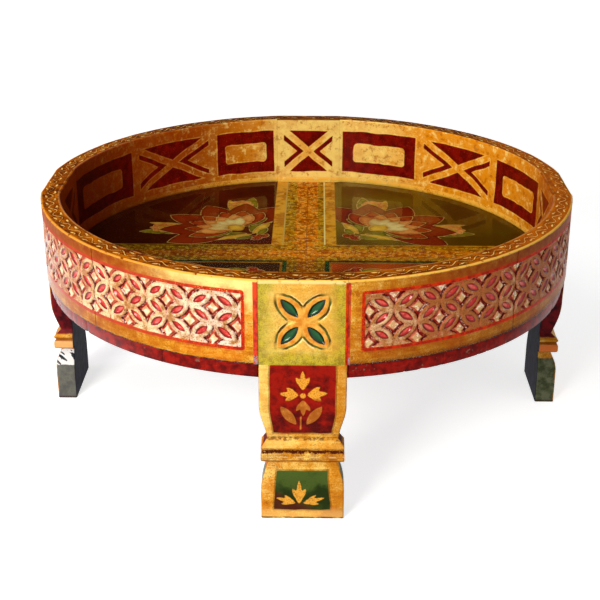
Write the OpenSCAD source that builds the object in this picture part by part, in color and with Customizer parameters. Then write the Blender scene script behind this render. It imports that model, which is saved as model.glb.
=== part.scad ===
// Round carved tray table on four plank legs.
// A ring of glued rim segments stands on a planked floor board between the legs,
// and a loose glass disc lies on the board inside the ring.
// The origin is on the floor under the middle of the table, and the front leg stands at -Y.

/* [Overall] */
// Diameter over the rim
rim_d = 600; // [520:5:700]
// Height from the floor to the top of the rim
table_h = 260; // [240:5:340]

/* [Rim] */
// Height of the rim above the floor board
rim_h = 88; // [76:1:108]
// Thickness of the rim segments
rim_wall = 21.5; // [19:0.5:30]
// Height of the plain band over the carved panel
band_top_h = 15; // [10:0.5:18]
// Height of the plain band under the carved panel
band_low_h = 17.5; // [10:0.5:20]
// Width of the plain upright band between a leg and the carved panel
band_side_w = 16.5; // [10:0.5:24]

/* [Lattice carving] */
// Columns of carved petals in each quarter of the rim
jali_cols = 14; // [8:2:18]
// Rows of carved petals
jali_rows = 3; // [2:1:3]
// Distance from the panel's upper edge to the first row of crossings
jali_top_gap = 1.5; // [0:0.5:6]
// Distance from the last row of crossings to the panel's lower edge
jali_low_gap = 4.5; // [0:0.5:8]
// Distance from the panel's upright edge to the first column of crossings
jali_side_gap = 4; // [0:0.5:10]
// Length of a carved petal
petal_len = 17; // [10:0.5:20]
// Width of a carved petal
petal_w = 6.5; // [3:0.5:8]
// Depth of the carving in the rim and the legs
pit_depth = 3; // [1:0.5:4]

/* [Legs] */
// Width of a leg
leg_w = 85; // [70:1:100]
// Thickness of a leg
leg_t = 22.5; // [20:0.5:30]
// Height of the foot, up to the underside of the moulding
foot_h = 65; // [50:1:70]
// Height of the flare in a foot, seen from the front
flare_h = 34; // [20:1:45]
// Height of the flare in a foot, seen from the side
flare_side_h = 22; // [12:1:40]
// Height of the moulding
mould_h = 23; // [14:1:26]
// Height of the moulding's sloped top
mould_slope_h = 7; // [3:0.5:10]
// Height of the bulge over the waist
bulge_h = 40; // [20:1:42]
// Cut-in on each side of the waist and the neck
waist_in = 6.8; // [2:0.2:12]
// How much narrower the moulding and the foot are than the leg, on each side
foot_in = 1; // [0:0.5:4]
// Height of the straight part of the neck
neck_h = 2; // [1:0.5:6]
// Cut-in on the outer face at the waist
waist_face_in = 8; // [2:0.5:10]
// Cut-in on the outer face at the neck
neck_face_in = 6.5; // [2:0.5:10]

/* [Leg flower] */
// Length of a petal in the leg's flower
flower_len = 26; // [16:1:28]
// Width of a petal in the leg's flower
flower_w = 9; // [5:0.5:10]
// Distance from the flower's middle to the middle of a petal
flower_r = 19; // [16:0.5:22]
// Steepness of the flower's petals
flower_tilt = 48; // [40:1:50]

/* [Floor board] */
// Thickness of the floor board
board_t = 15; // [12:0.5:20]
// How far the board's edge stands back from the rim
board_inset = 4; // [0:0.5:8]
// Width of each of the two middle planks
plank_w = 138; // [110:1:160]

/* [Battens] */
// Width of a batten
batten_w = 60; // [40:1:80]
// Thickness of a batten
batten_t = 18; // [12:1:24]
// Length of a batten
batten_len = 460; // [380:5:470]
// Distance of each batten from the middle of the table
batten_y = 130; // [90:1:140]
// Bevel on the ends of a batten
batten_bevel = 10; // [2:1:11]

/* [Glass] */
// Thickness of the glass disc
glass_t = 5; // [3:0.5:10]
// Gap between the glass and the nearest wall
glass_gap = 1.5; // [1:0.5:6]
// Bevel on the edge of the glass
glass_bevel = 0.8; // [0.3:0.1:1.2]

/* [Pegs and screws] */
// Diameter of the wooden pegs
peg_d = 8; // [6:0.5:8]
// Length of the wooden pegs
peg_len = 40; // [30:1:48]
// Distance of a peg from the inner face of a leg
peg_inset = 9; // [8:0.5:11]
// Distance of the rim pegs from the rim's upper and lower edges
peg_edge = 22; // [12:1:30]
// Half the distance between the two pegs that join a leg to the board
board_peg_x = 22; // [12:1:30]
// Depth of the board pegs in a leg
board_peg_in_leg = 12; // [8:0.5:15]
// Diameter of the screws
screw_d = 4; // [3:0.5:5]
// Diameter of the screw heads
screw_head_d = 8; // [7:0.5:9]
// Depth of the rim screws in the rim
screw_in_rim = 25; // [16:1:32]
// Depth of the batten screws in the planks
screw_in_plank = 10; // [6:0.5:10]
// Distance along the rim from a leg's side to the first rim screw
screw_from_leg = 38; // [30:1:50]
// Distance along the rim from the joint of two segments to the next screw
screw_from_splice = 45; // [35:1:60]

/* [Hidden] */
$fn = 96;

// Clearance round a glued peg and at each of its ends
glue_gap = 0.1;
peg_end_gap = 0.5;
// Clearance round a screw
screw_gap = 0.1;
screw_head_h = 2.4;
screw_tip_h = 4;
slot_w = 1;
slot_depth = 0.9;
// How far a cutting shape reaches past the face that it cuts
past = 1;
// Points along each curved stretch of a leg's outline
curve_steps = 8;

rim_r = rim_d / 2;
rim_inner_r = rim_r - rim_wall;
rim_z = table_h - rim_h;
board_z = rim_z - board_t;
board_r = rim_r - board_inset;
panel_top_z = table_h - band_top_h;
panel_low_z = rim_z + band_low_h;

// A leg's outer face is flat, and its two edges lie on the rim's outer circle
leg_face = sqrt(pow(rim_r, 2) - pow(leg_w / 2, 2));
leg_inner = leg_face - leg_t;
leg_half_angle = asin(leg_w / 2 / rim_r);
waist_z = foot_h + mould_h;

// Crossings of the lattice, by angle from the leg on the quarter's first side
mm_to_deg = 180 / (PI * rim_r);
first_col = leg_half_angle + (band_side_w + jali_side_gap) * mm_to_deg;
col_step = (90 - 2 * first_col) / jali_cols;
row_step = (panel_top_z - panel_low_z - jali_top_gap - jali_low_gap) / jali_rows;
petal_tilt = atan(row_step / (col_step / mm_to_deg));
flower_z = (panel_top_z + panel_low_z) / 2;

glass_r = min(leg_inner, rim_inner_r) - glass_gap;
plank_edges = [-rim_r, -plank_w, 0, plank_w, rim_r];
batten_xs = [for (e = plank_edges) min(max(e, -batten_len / 2), batten_len / 2)];

peg_r = peg_d / 2;
peg_zs = [rim_z + peg_edge, table_h - peg_edge];
board_mid_z = board_z + board_t / 2;
splice_peg_r = (rim_inner_r + rim_r - pit_depth) / 2;
plank_peg_ys = [-batten_y - batten_w / 2 - peg_d, 0, batten_y + batten_w / 2 + peg_d];

screw_r = screw_d / 2;
screw_head_r = screw_head_d / 2;
rim_screw_r = (rim_inner_r + board_r) / 2;
rim_screw_len = board_t + screw_in_rim;
rim_screw_as = [leg_half_angle + screw_from_leg * mm_to_deg, 45 - screw_from_splice * mm_to_deg];
batten_screw_len = batten_t + screw_in_plank;

// Half width of a leg seen from the front, as [half width, height] from the floor up
function foot_side() = [
    for (i = [0:curve_steps])
        let (t = i / curve_steps)
            [leg_w / 2 - foot_in - waist_in * pow(t, 2), foot_h - flare_h * (1 - t)]
];
function bulge_side() = [
    for (i = [0:curve_steps])
        let (t = i / curve_steps)
            [leg_w / 2 - waist_in * (1 + cos(180 * t)) / 2, waist_z + bulge_h * t]
];
function leg_side() = concat(
    [[leg_w / 2 - foot_in, 0]],
    foot_side(),
    [[leg_w / 2 - foot_in, foot_h], [leg_w / 2 - foot_in, waist_z - mould_slope_h]],
    bulge_side(),
    [[leg_w / 2, table_h]]
);
function leg_front_outline() = concat(
    leg_side(),
    [for (i = [len(leg_side()) - 1:-1:0]) [-leg_side()[i][0], leg_side()[i][1]]]
);

// Outer face of a leg seen from the side, as [distance from the table's middle, height]
function foot_face() = [
    for (i = [0:curve_steps])
        let (t = i / curve_steps)
            [leg_face - neck_face_in * pow(t, 2), foot_h - neck_h - flare_side_h * (1 - t)]
];
function bulge_face() = [
    for (i = [0:curve_steps])
        let (t = i / curve_steps)
            [leg_face - waist_face_in * pow(1 - t, 2), waist_z + bulge_h * t]
];
function leg_side_outline() = concat(
    [[leg_inner, 0], [leg_face, 0]],
    foot_face(),
    [[leg_face - neck_face_in, foot_h], [leg_face, foot_h], [leg_face, waist_z - mould_slope_h]],
    bulge_face(),
    [[leg_face, table_h], [leg_inner, table_h]]
);

// Prism of two crossing arcs, its long axis on X, rising from the XY plane
module lens(length, width, height) {
    arc_r = (pow(length, 2) + pow(width, 2)) / (4 * width);
    shift = arc_r - width / 2;
    intersection() {
        translate([0, shift, 0]) cylinder(h = height, r = arc_r);
        translate([0, -shift, 0]) cylinder(h = height, r = arc_r);
    }
}

// Carved petal in an upright face at -Y, which is face_r from the table's middle
module petal_pit(face_r, height, length, width, tilt) {
    translate([0, -(face_r - pit_depth), height])
        rotate([90, 0, 0]) rotate([0, 0, tilt])
            lens(length, width, pit_depth + past);
}

module peg(grow = 0, longer = 0) {
    cylinder(h = peg_len + 2 * longer, r = peg_r + grow, center = true);
}
module peg_hole() {
    peg(glue_gap, peg_end_gap);
}

// Countersunk screw that points up, with the flat of its head at the origin
module screw(length) {
    difference() {
        union() {
            cylinder(h = screw_head_h, r1 = screw_head_r, r2 = screw_r);
            cylinder(h = length - screw_tip_h, r = screw_r);
            translate([0, 0, length - screw_tip_h]) cylinder(h = screw_tip_h, r1 = screw_r, r2 = screw_r / 4);
        }
        translate([-screw_head_d, -slot_w / 2, -past]) cube([2 * screw_head_d, slot_w, past + slot_depth]);
    }
}
module screw_hole(length) {
    slope = (screw_head_r - screw_r) / screw_head_h;
    translate([0, 0, -past])
        cylinder(h = screw_head_h + past, r1 = screw_head_r + screw_gap + slope * past, r2 = screw_r + screw_gap);
    cylinder(h = length + peg_end_gap, r = screw_r + screw_gap);
}

// Places of the pegs, in the frame of the front leg
module at_leg_pegs(side) {
    for (z = peg_zs)
        translate([side * leg_w / 2, -(leg_inner + peg_inset), z]) rotate([0, 90, 0]) children();
}
module at_splice_pegs() {
    for (z = peg_zs)
        rotate([0, 0, 45]) translate([0, -splice_peg_r, z]) rotate([0, 90, 0]) children();
}
module at_board_pegs() {
    for (x = [-board_peg_x, board_peg_x])
        translate([x, -(leg_inner + board_peg_in_leg - peg_len / 2), board_mid_z]) rotate([90, 0, 0]) children();
}
module at_plank_pegs() {
    for (x = [-plank_w, 0, plank_w])
        for (y = plank_peg_ys)
            translate([x, y, board_mid_z]) rotate([0, 90, 0]) children();
}

// Places of the screws
module at_rim_screws(half) {
    for (a = rim_screw_as)
        rotate([0, 0, half == 0 ? a : 90 - a]) translate([0, -rim_screw_r, board_z]) children();
}
module at_batten_screws(y) {
    for (k = [0:3])
        for (share = [0.25, 0.75])
            translate([batten_xs[k] + share * (batten_xs[k + 1] - batten_xs[k]), y, board_z - batten_t])
                children();
}

// Leg with its carved flower, in the frame of the front leg
module leg(quarter) {
    color("goldenrod") rotate([0, 0, 90 * quarter]) difference() {
        intersection() {
            translate([0, -leg_inner, 0]) rotate([90, 0, 0])
                linear_extrude(leg_t) polygon(leg_front_outline());
            translate([-leg_w, 0, 0]) rotate([90, 0, 90])
                linear_extrude(2 * leg_w) polygon([for (p = leg_side_outline()) [-p[0], p[1]]]);
        }
        for (sx = [-1, 1])
            for (sz = [-1, 1])
                translate([sx * flower_r * cos(flower_tilt), 0, 0])
                    petal_pit(leg_face, flower_z + sz * flower_r * sin(flower_tilt),
                        flower_len, flower_w, sx * sz * flower_tilt);
        at_leg_pegs(1) peg_hole();
        at_leg_pegs(-1) peg_hole();
        at_board_pegs() peg_hole();
    }
}

// The well inside the rim: a circle with a flat at each leg
module rim_well(height) {
    intersection() {
        cylinder(h = height, r = rim_inner_r);
        translate([-leg_inner, -leg_inner, 0]) cube([2 * leg_inner, 2 * leg_inner, height]);
    }
}

// Half a quarter of the rim. Half 0 starts at the quarter's first leg, half 1 ends at its second.
module rim_segment(quarter, half) {
    color("peru") rotate([0, 0, 90 * quarter]) difference() {
        translate([0, 0, rim_z]) intersection() {
            cylinder(h = rim_h, r = rim_r);
            if (half == 0) {
                translate([leg_w / 2, -rim_d, 0]) cube([rim_d, rim_d, rim_h]);
            } else {
                translate([0, -leg_w / 2 - rim_d, 0]) cube([rim_d, rim_d, rim_h]);
            }
            rotate([0, 0, 45])
                translate([half == 0 ? -rim_d : 0, -2 * rim_d, 0]) cube([rim_d, 2 * rim_d, rim_h]);
        }
        translate([0, 0, rim_z - past]) rim_well(rim_h + 2 * past);
        rim_carving(quarter, half);
        rotate([0, 0, 90 * half]) at_leg_pegs(half == 0 ? 1 : -1) peg_hole();
        at_splice_pegs() peg_hole();
        at_rim_screws(half) screw_hole(rim_screw_len);
    }
}

// Petals between the crossings of the lattice. Every second petal leans the other way.
module rim_carving(quarter, half) {
    for (i = [half * jali_cols / 2:(half + 1) * jali_cols / 2 - 1])
        for (j = [0:jali_rows - 1])
            rotate([0, 0, first_col + (i + 0.5) * col_step])
                petal_pit(rim_r, panel_top_z - jali_top_gap - (j + 0.5) * row_step,
                    petal_len, petal_w, (i + j + quarter) % 2 == 0 ? -petal_tilt : petal_tilt);
}

// Board disc, notched for the legs
module board_disc() {
    difference() {
        translate([0, 0, board_z]) cylinder(h = board_t, r = board_r);
        for (k = [0:3])
            rotate([0, 0, 90 * k]) translate([-leg_w / 2, -leg_inner - leg_w, board_z - past])
                cube([leg_w, leg_w, board_t + 2 * past]);
    }
}
module plank(k) {
    color("firebrick") difference() {
        intersection() {
            board_disc();
            translate([plank_edges[k], -rim_r, board_z])
                cube([plank_edges[k + 1] - plank_edges[k], rim_d, board_t]);
        }
        for (q = [0:3])
            rotate([0, 0, 90 * q]) {
                at_board_pegs() peg_hole();
                at_rim_screws(0) screw_hole(rim_screw_len);
                at_rim_screws(1) screw_hole(rim_screw_len);
            }
        at_plank_pegs() peg_hole();
        at_batten_screws(batten_y) screw_hole(batten_screw_len);
        at_batten_screws(-batten_y) screw_hole(batten_screw_len);
    }
}

// Batten under the board, with bevelled ends
module batten(y) {
    color("saddlebrown") difference() {
        translate([0, y + batten_w / 2, board_z - batten_t]) rotate([90, 0, 0])
            linear_extrude(batten_w) polygon([
                [-batten_len / 2 + batten_bevel, 0],
                [batten_len / 2 - batten_bevel, 0],
                [batten_len / 2, batten_bevel],
                [batten_len / 2, batten_t],
                [-batten_len / 2, batten_t],
                [-batten_len / 2, batten_bevel]
            ]);
        at_batten_screws(y) screw_hole(batten_screw_len);
    }
}

module glass_disc() {
    color("lightcyan", 0.4) translate([0, 0, rim_z]) rotate_extrude() polygon([
        [0, 0],
        [glass_r - glass_bevel, 0],
        [glass_r, glass_bevel],
        [glass_r, glass_t - glass_bevel],
        [glass_r - glass_bevel, glass_t],
        [0, glass_t]
    ]);
}

module leg_pegs() {
    color("burlywood") for (k = [0:3])
        for (side = [-1, 1])
            rotate([0, 0, 90 * k]) at_leg_pegs(side) peg();
}
module splice_pegs() {
    color("burlywood") for (k = [0:3])
        rotate([0, 0, 90 * k]) at_splice_pegs() peg();
}
module board_pegs() {
    color("burlywood") for (k = [0:3])
        rotate([0, 0, 90 * k]) at_board_pegs() peg();
}
module plank_pegs() {
    color("burlywood") at_plank_pegs() peg();
}
module rim_screws() {
    color("silver") for (k = [0:3])
        for (half = [0, 1])
            rotate([0, 0, 90 * k]) at_rim_screws(half) screw(rim_screw_len);
}
module batten_screws() {
    color("silver") for (y = [-batten_y, batten_y])
        at_batten_screws(y) screw(batten_screw_len);
}

leg(0);  // leg_front
leg(1);  // leg_right
leg(2);  // leg_back
leg(3);  // leg_left
rim_segment(0, 0);  // rim_front_right_a
rim_segment(0, 1);  // rim_front_right_b
rim_segment(1, 0);  // rim_back_right_a
rim_segment(1, 1);  // rim_back_right_b
rim_segment(2, 0);  // rim_back_left_a
rim_segment(2, 1);  // rim_back_left_b
rim_segment(3, 0);  // rim_front_left_a
rim_segment(3, 1);  // rim_front_left_b
plank(0);  // plank_left_outer
plank(1);  // plank_left_inner
plank(2);  // plank_right_inner
plank(3);  // plank_right_outer
batten(-batten_y);  // batten_front
batten(batten_y);  // batten_back
glass_disc();
leg_pegs();
splice_pegs();
board_pegs();
plank_pegs();
rim_screws();
batten_screws();
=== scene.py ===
# %% [markdown]
# # A painted tray table, dressed piece by piece
# The table is a ring of carved and painted rim segments between four plank legs. A planked
# floor closes the ring from below, and a loose glass disc protects the painting on it.
# Its construction comes ready made, as nodes that may not move. This lesson gives it the
# carving, the brushed gold, the lacquer and the wear that the real table shows. A shape is
# always a function of two parameters, worked out by numpy as whole arrays.

# %% Load the packed table
import math

import bpy
import numpy as np
from mathutils import Matrix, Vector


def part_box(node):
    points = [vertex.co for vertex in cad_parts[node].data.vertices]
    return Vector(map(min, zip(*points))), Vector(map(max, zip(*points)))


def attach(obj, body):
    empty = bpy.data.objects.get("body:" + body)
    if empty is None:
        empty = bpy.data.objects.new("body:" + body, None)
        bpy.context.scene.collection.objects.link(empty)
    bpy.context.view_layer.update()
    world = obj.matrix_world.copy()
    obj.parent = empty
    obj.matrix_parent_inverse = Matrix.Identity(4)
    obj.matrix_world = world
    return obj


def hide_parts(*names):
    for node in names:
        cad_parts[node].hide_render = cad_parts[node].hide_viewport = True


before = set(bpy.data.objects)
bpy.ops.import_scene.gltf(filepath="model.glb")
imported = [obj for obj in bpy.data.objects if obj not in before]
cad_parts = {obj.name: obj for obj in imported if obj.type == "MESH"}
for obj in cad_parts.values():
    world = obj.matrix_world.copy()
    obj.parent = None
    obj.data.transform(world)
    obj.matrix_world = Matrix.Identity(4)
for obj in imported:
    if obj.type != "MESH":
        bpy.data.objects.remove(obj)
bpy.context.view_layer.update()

# %% [markdown]
# ## Sizes
# Every size is read from the nodes, so the paint follows the wood if the table is made
# larger. Millimetres are handy for carving, and Blender works in metres, so one factor
# turns the first into the second when a mesh is built.

# %% Sizes read from the nodes, in millimetres
MM = 0.001


def corners(node):
    """Lowest and highest corner of a node, in millimetres."""
    low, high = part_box(node)
    return np.array(low) / MM, np.array(high) / MM


segment_low, segment_high = corners("rim_front_right_a")
leg_low, leg_high = corners("leg_front")
plank_low, plank_high = corners("plank_left_outer")
RIM_R = segment_high[0] * math.sqrt(2)
RIM_INNER = -segment_high[1] * math.sqrt(2)
RIM_LOW, RIM_TOP = segment_low[2], segment_high[2]
WALL = RIM_R - RIM_INNER
LEG_HALF = segment_low[0]
LEG_FACE, LEG_BACK = -leg_low[1], -leg_high[1]
BOARD_R = math.hypot(plank_low[0], LEG_HALF)
BOARD_LOW = plank_low[2]
SEAM_X = -plank_high[0]
print(f"rim radius {RIM_R:.1f}, wall {WALL:.1f}, height {RIM_LOW:.0f} to {RIM_TOP:.0f}")

# %% [markdown]
# ## Camera
# The photograph was taken from in front and above, with a long lens. The camera's matrix is
# made of three directions, right, up and backwards, that follow from how far it looks down,
# turns and leans.

# %% Camera
CAMERA_PLACE = (0.0125, -1.352, 0.694)
FOCAL_LENGTH, SENSOR_WIDTH = 73.9, 36
LOOK_DOWN, TURN, LEAN = (math.radians(a) for a in (23.27, -0.83, 0.10))


def show(name, data):
    """A new object of the scene that holds that data."""
    thing = bpy.data.objects.new(name, data)
    bpy.context.scene.collection.objects.link(thing)
    return thing


def matrix_of(right, up, back, place):
    """The matrix whose columns are three directions and a place."""
    columns = np.column_stack([right, up, back, place])
    return Matrix(np.vstack([columns, [0, 0, 0, 1]]).tolist())


def camera_matrix(place, down, turn, lean):
    """Columns right, up, back and place. Forward leans down and turns about the upright;
    right is level, up is square to both, and the lean turns right and up about forward."""
    forward = np.array([math.sin(turn) * math.cos(down), math.cos(turn) * math.cos(down), -math.sin(down)])
    level = np.array([math.cos(turn), -math.sin(turn), 0])
    upright = np.cross(level, forward)
    right = level * math.cos(lean) + upright * math.sin(lean)
    up = upright * math.cos(lean) - level * math.sin(lean)
    return matrix_of(right, up, -forward, place)


camera = show("camera", bpy.data.cameras.new("camera"))
camera.data.lens = FOCAL_LENGTH
camera.data.sensor_width = SENSOR_WIDTH
camera.matrix_world = camera_matrix(CAMERA_PLACE, LOOK_DOWN, TURN, LEAN)
bpy.context.scene.camera = camera
print("camera at", CAMERA_PLACE)

# %% [markdown]
# ## Shapes as distances
# A painted or carved shape is kept as a signed distance in millimetres, negative inside it.
# Carving turns the distance into a depth, and paint turns it into a mask. A distance changes
# evenly from point to point, so it stays sharp between the points of a coarse mesh, where a
# painted colour would blur.

# %% Distances to simple shapes
FAR = 9.0
CLOUD_CELLS = 64


def ease(x, low, high):
    """Ramp from 0 at low to 1 at high: t * t * (3 - 2 * t), t being how far x is on its way."""
    t = np.clip((x - low) / (high - low), 0, 1)
    return t * t * (3 - 2 * t)


def cloud(u, v, size, seed):
    """Soft unevenness from -1 to 1: random values on a square lattice of that size, and
    between them the eased mean of the four nearest."""
    values = np.random.default_rng(seed).uniform(-1, 1, (CLOUD_CELLS, CLOUD_CELLS))
    cell_u, cell_v = np.floor(u / size).astype(int), np.floor(v / size).astype(int)
    part_u, part_v = ease(u / size - cell_u, 0, 1), ease(v / size - cell_v, 0, 1)

    def row(j):
        """Values on a row of the lattice: left * (1 - part) + right * part."""
        left, right = (values[(cell_u + k) % CLOUD_CELLS, j % CLOUD_CELLS] for k in (0, 1))
        return left * (1 - part_u) + right * part_u

    return row(cell_v) * (1 - part_v) + row(cell_v + 1) * part_v


def lens(u, v, length, width):
    """Distance to two crossing arcs, long axis on u: the distance to the arc's centre, less
    the arc's radius (length squared + width squared) / (4 * width)."""
    radius = (length**2 + width**2) / (4 * width)
    return np.hypot(u, np.abs(v) + radius - width / 2) - radius


def petal(x, y, foot, tip, width):
    """Distance to a lens that runs from the point foot to the point tip."""
    run, rise = tip[0] - foot[0], tip[1] - foot[1]
    length = math.hypot(run, rise)
    x, y = x - (foot[0] + tip[0]) / 2, y - (foot[1] + tip[1]) / 2
    return lens((x * run + y * rise) / length, (y * run - x * rise) / length, length, width)


def block(x, y, half_x, half_y, rounding=0.0):
    """Distance to a rectangle about the origin: past its sides the length of the overshoot,
    and inside the nearer side. A rounding above 0 rounds its corners."""
    over_x, over_y = np.abs(x) - half_x + rounding, np.abs(y) - half_y + rounding
    outside = np.hypot(np.maximum(over_x, 0), np.maximum(over_y, 0))
    return outside + np.minimum(np.maximum(over_x, over_y), 0) - rounding


def stroke(x, y, start, end, half):
    """Distance to a brush stroke: to the nearest point of the line, less half its width."""
    run, rise = end[0] - start[0], end[1] - start[1]
    share = np.clip(((x - start[0]) * run + (y - start[1]) * rise) / (run**2 + rise**2), 0, 1)
    return np.hypot(x - start[0] - share * run, y - start[1] - share * rise) - half


def leaf(x, y, foot, tip, spread):
    """Distance to a leaf with three points: a broad body, a slender middle and a lobe on each
    side, whose tips lie spread apart. It is the least of the four petals' distances."""
    run, rise = tip[0] - foot[0], tip[1] - foot[1]
    side_x, side_y = -rise / math.hypot(run, rise) * spread / 2, run / math.hypot(run, rise) * spread / 2

    def at(share, side=0.0):
        """The point at that share of the way from foot to tip, and half a spread aside."""
        return foot[0] + share * run + side * side_x, foot[1] + share * rise + side * side_y

    found = np.minimum(petal(x, y, foot, at(0.74), spread * 0.60), petal(x, y, at(0.2), tip, spread * 0.34))
    for side in (-1, 1):
        found = np.minimum(found, petal(x, y, at(0.12), at(0.66, side), spread * 0.34))
    return found


print("a point at the middle of a 17 by 6.5 petal lies", lens(0, 0, 17, 6.5), "from its edge")

# %% [markdown]
# ## Meshes from grids
# Most pieces are a grid of points bent into place. This function takes the points, the faces
# and the distances, and writes them into a mesh. A closed mesh whose faces point inwards has a
# negative volume, so the sign tells whether it has to be turned.

# %% A mesh from arrays
def add_piece(name, points, faces, zones, flat, distances, paints, replaced):
    """Makes a piece of the table: points in millimetres, faces as lists of point numbers, for
    each face its paint and whether it is flat, and for each point its named distances."""
    mesh = bpy.data.meshes.new(name)
    mesh.from_pydata((points * MM).tolist(), [], faces)
    mesh.polygons.foreach_set("material_index", np.asarray(zones, np.int32))
    mesh.polygons.foreach_set("use_smooth", ~np.asarray(flat, bool))
    for title, values in distances.items():
        layer = mesh.attributes.new(title, "FLOAT", "POINT")
        layer.data.foreach_set("value", np.asarray(values, np.float32).ravel())
    mesh.update()
    if volume(mesh) < 0:
        mesh.flip_normals()
    for paint in paints:
        mesh.materials.append(paint)
    piece = show(name, mesh)
    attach(piece, "table")
    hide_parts(replaced)


def volume(mesh):
    """Signed volume: a sixth of the sum, over the triangles, of a . (b x c)."""
    mesh.calc_loop_triangles()
    corner = np.zeros(len(mesh.loop_triangles) * 3, np.int32)
    mesh.loop_triangles.foreach_get("vertices", corner)
    place = np.zeros(len(mesh.vertices) * 3, np.float32)
    mesh.vertices.foreach_get("co", place)
    a, b, c = np.moveaxis(place.reshape(-1, 3)[corner.reshape(-1, 3)].astype(float), 1, 0)
    return float((a * np.cross(b, c)).sum() / 6)


def turn_about_z(points, degrees):
    """Points turned about the table's upright axis."""
    c, s = math.cos(math.radians(degrees)), math.sin(math.radians(degrees))
    return points @ np.array([[c, s, 0], [-s, c, 0], [0, 0, 1]])


def tube_faces(rows, columns):
    """Quads of a tube whose rings have that many points. Point number = column * rows + row."""
    row, column = np.meshgrid(np.arange(rows), np.arange(columns - 1))
    here, after = column * rows + row, column * rows + (row + 1) % rows
    return np.stack([here, after, after + rows, here + rows], -1).reshape(-1, 4)


print("a tube of 4 by 3 points has", len(tube_faces(4, 3)), "faces")

# %% [markdown]
# ## Shader maths
# A material is a web of nodes. Here a socket is wrapped in a small class, so that a mask can
# be written as a sum or a product, and each operator adds its Math node. Any other node comes
# from one method that takes the node's type, its settings and its inputs.

# %% The class that wraps a socket
class Wire:
    """One output socket of a shader, used in sums and products like a number."""

    def __init__(self, tree, socket):
        self.tree, self.socket = tree, socket

    def add(self, kind, settings=None, inputs=None, output=0):
        """A new node of that kind in the same tree: its settings are set first, and then its
        inputs get their values or links. The answer is one output, by number or by name."""
        node = self.tree.nodes.new(kind)
        for name, value in (settings or {}).items():
            setattr(node, name, value)
        for name, value in (inputs or {}).items():
            if isinstance(value, Wire):
                self.tree.links.new(value.socket, node.inputs[name])
            else:
                node.inputs[name].default_value = value
        return Wire(self.tree, node.outputs[output] if node.outputs else None)

    def math(self, operation, *values):
        """A Math node: that operation on the values, each a link or a number."""
        return self.add("ShaderNodeMath", {"operation": operation}, dict(enumerate(values)))

    def __add__(self, other):
        return self.math("ADD", self, other)

    def __sub__(self, other):
        return self.math("SUBTRACT", self, other)

    def __rsub__(self, other):
        return self.math("SUBTRACT", other, self)

    def __mul__(self, other):
        return self.math("MULTIPLY", self, other)

    __radd__, __rmul__ = __add__, __mul__

    def size(self):
        """The number without its sign."""
        return self.math("ABSOLUTE", self)

    def least(self, other):
        """The smaller one of both."""
        return self.math("MINIMUM", self, other)

    def most(self, other):
        """The larger one of both."""
        return self.math("MAXIMUM", self, other)

    def length(self):
        """Length of a vector: the root of x * x + y * y + z * z."""
        return self.add("ShaderNodeVectorMath", {"operation": "LENGTH"}, {0: self}, output=1)

    def ramp(self, low, high):
        """Soft step from 0 at low to 1 at high. With low over high it falls."""
        return self.add("ShaderNodeMapRange", {"interpolation_type": "SMOOTHSTEP"},
                        {"Value": self, "From Min": low, "From Max": high})

    def wobble(self, noise, amount):
        """The number moved up and down by noise: + noise * amount - amount / 2."""
        return self + noise * amount - amount / 2

    def between(self, low, high, soft):
        """1 between low and high, and 0 outside them."""
        return self.ramp(low - soft, low + soft) * self.ramp(high + soft, high - soft)


print("operators:", [name for name in ("__add__", "__sub__", "__mul__") if name in vars(Wire)])

# %% [markdown]
# ## What all the paints share
# A colour is written as the eye sees it, from 0 to 255, and turned into the linear light that
# the shader works with. Each paint starts from the object coordinates, in millimetres, and is
# built up in layers: a mask says where the next colour covers the one below.

# %% Helpers for the paints
def shade(red, green, blue):
    """Linear colour of an sRGB one: (c / 255 + 0.055) / 1.055 to the power 2.4, above a short
    straight stretch near black."""
    parts = [c / 255 for c in (red, green, blue)]
    return tuple(c / 12.92 if c <= 0.04045 else ((c + 0.055) / 1.055) ** 2.4 for c in parts) + (1.0,)


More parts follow.
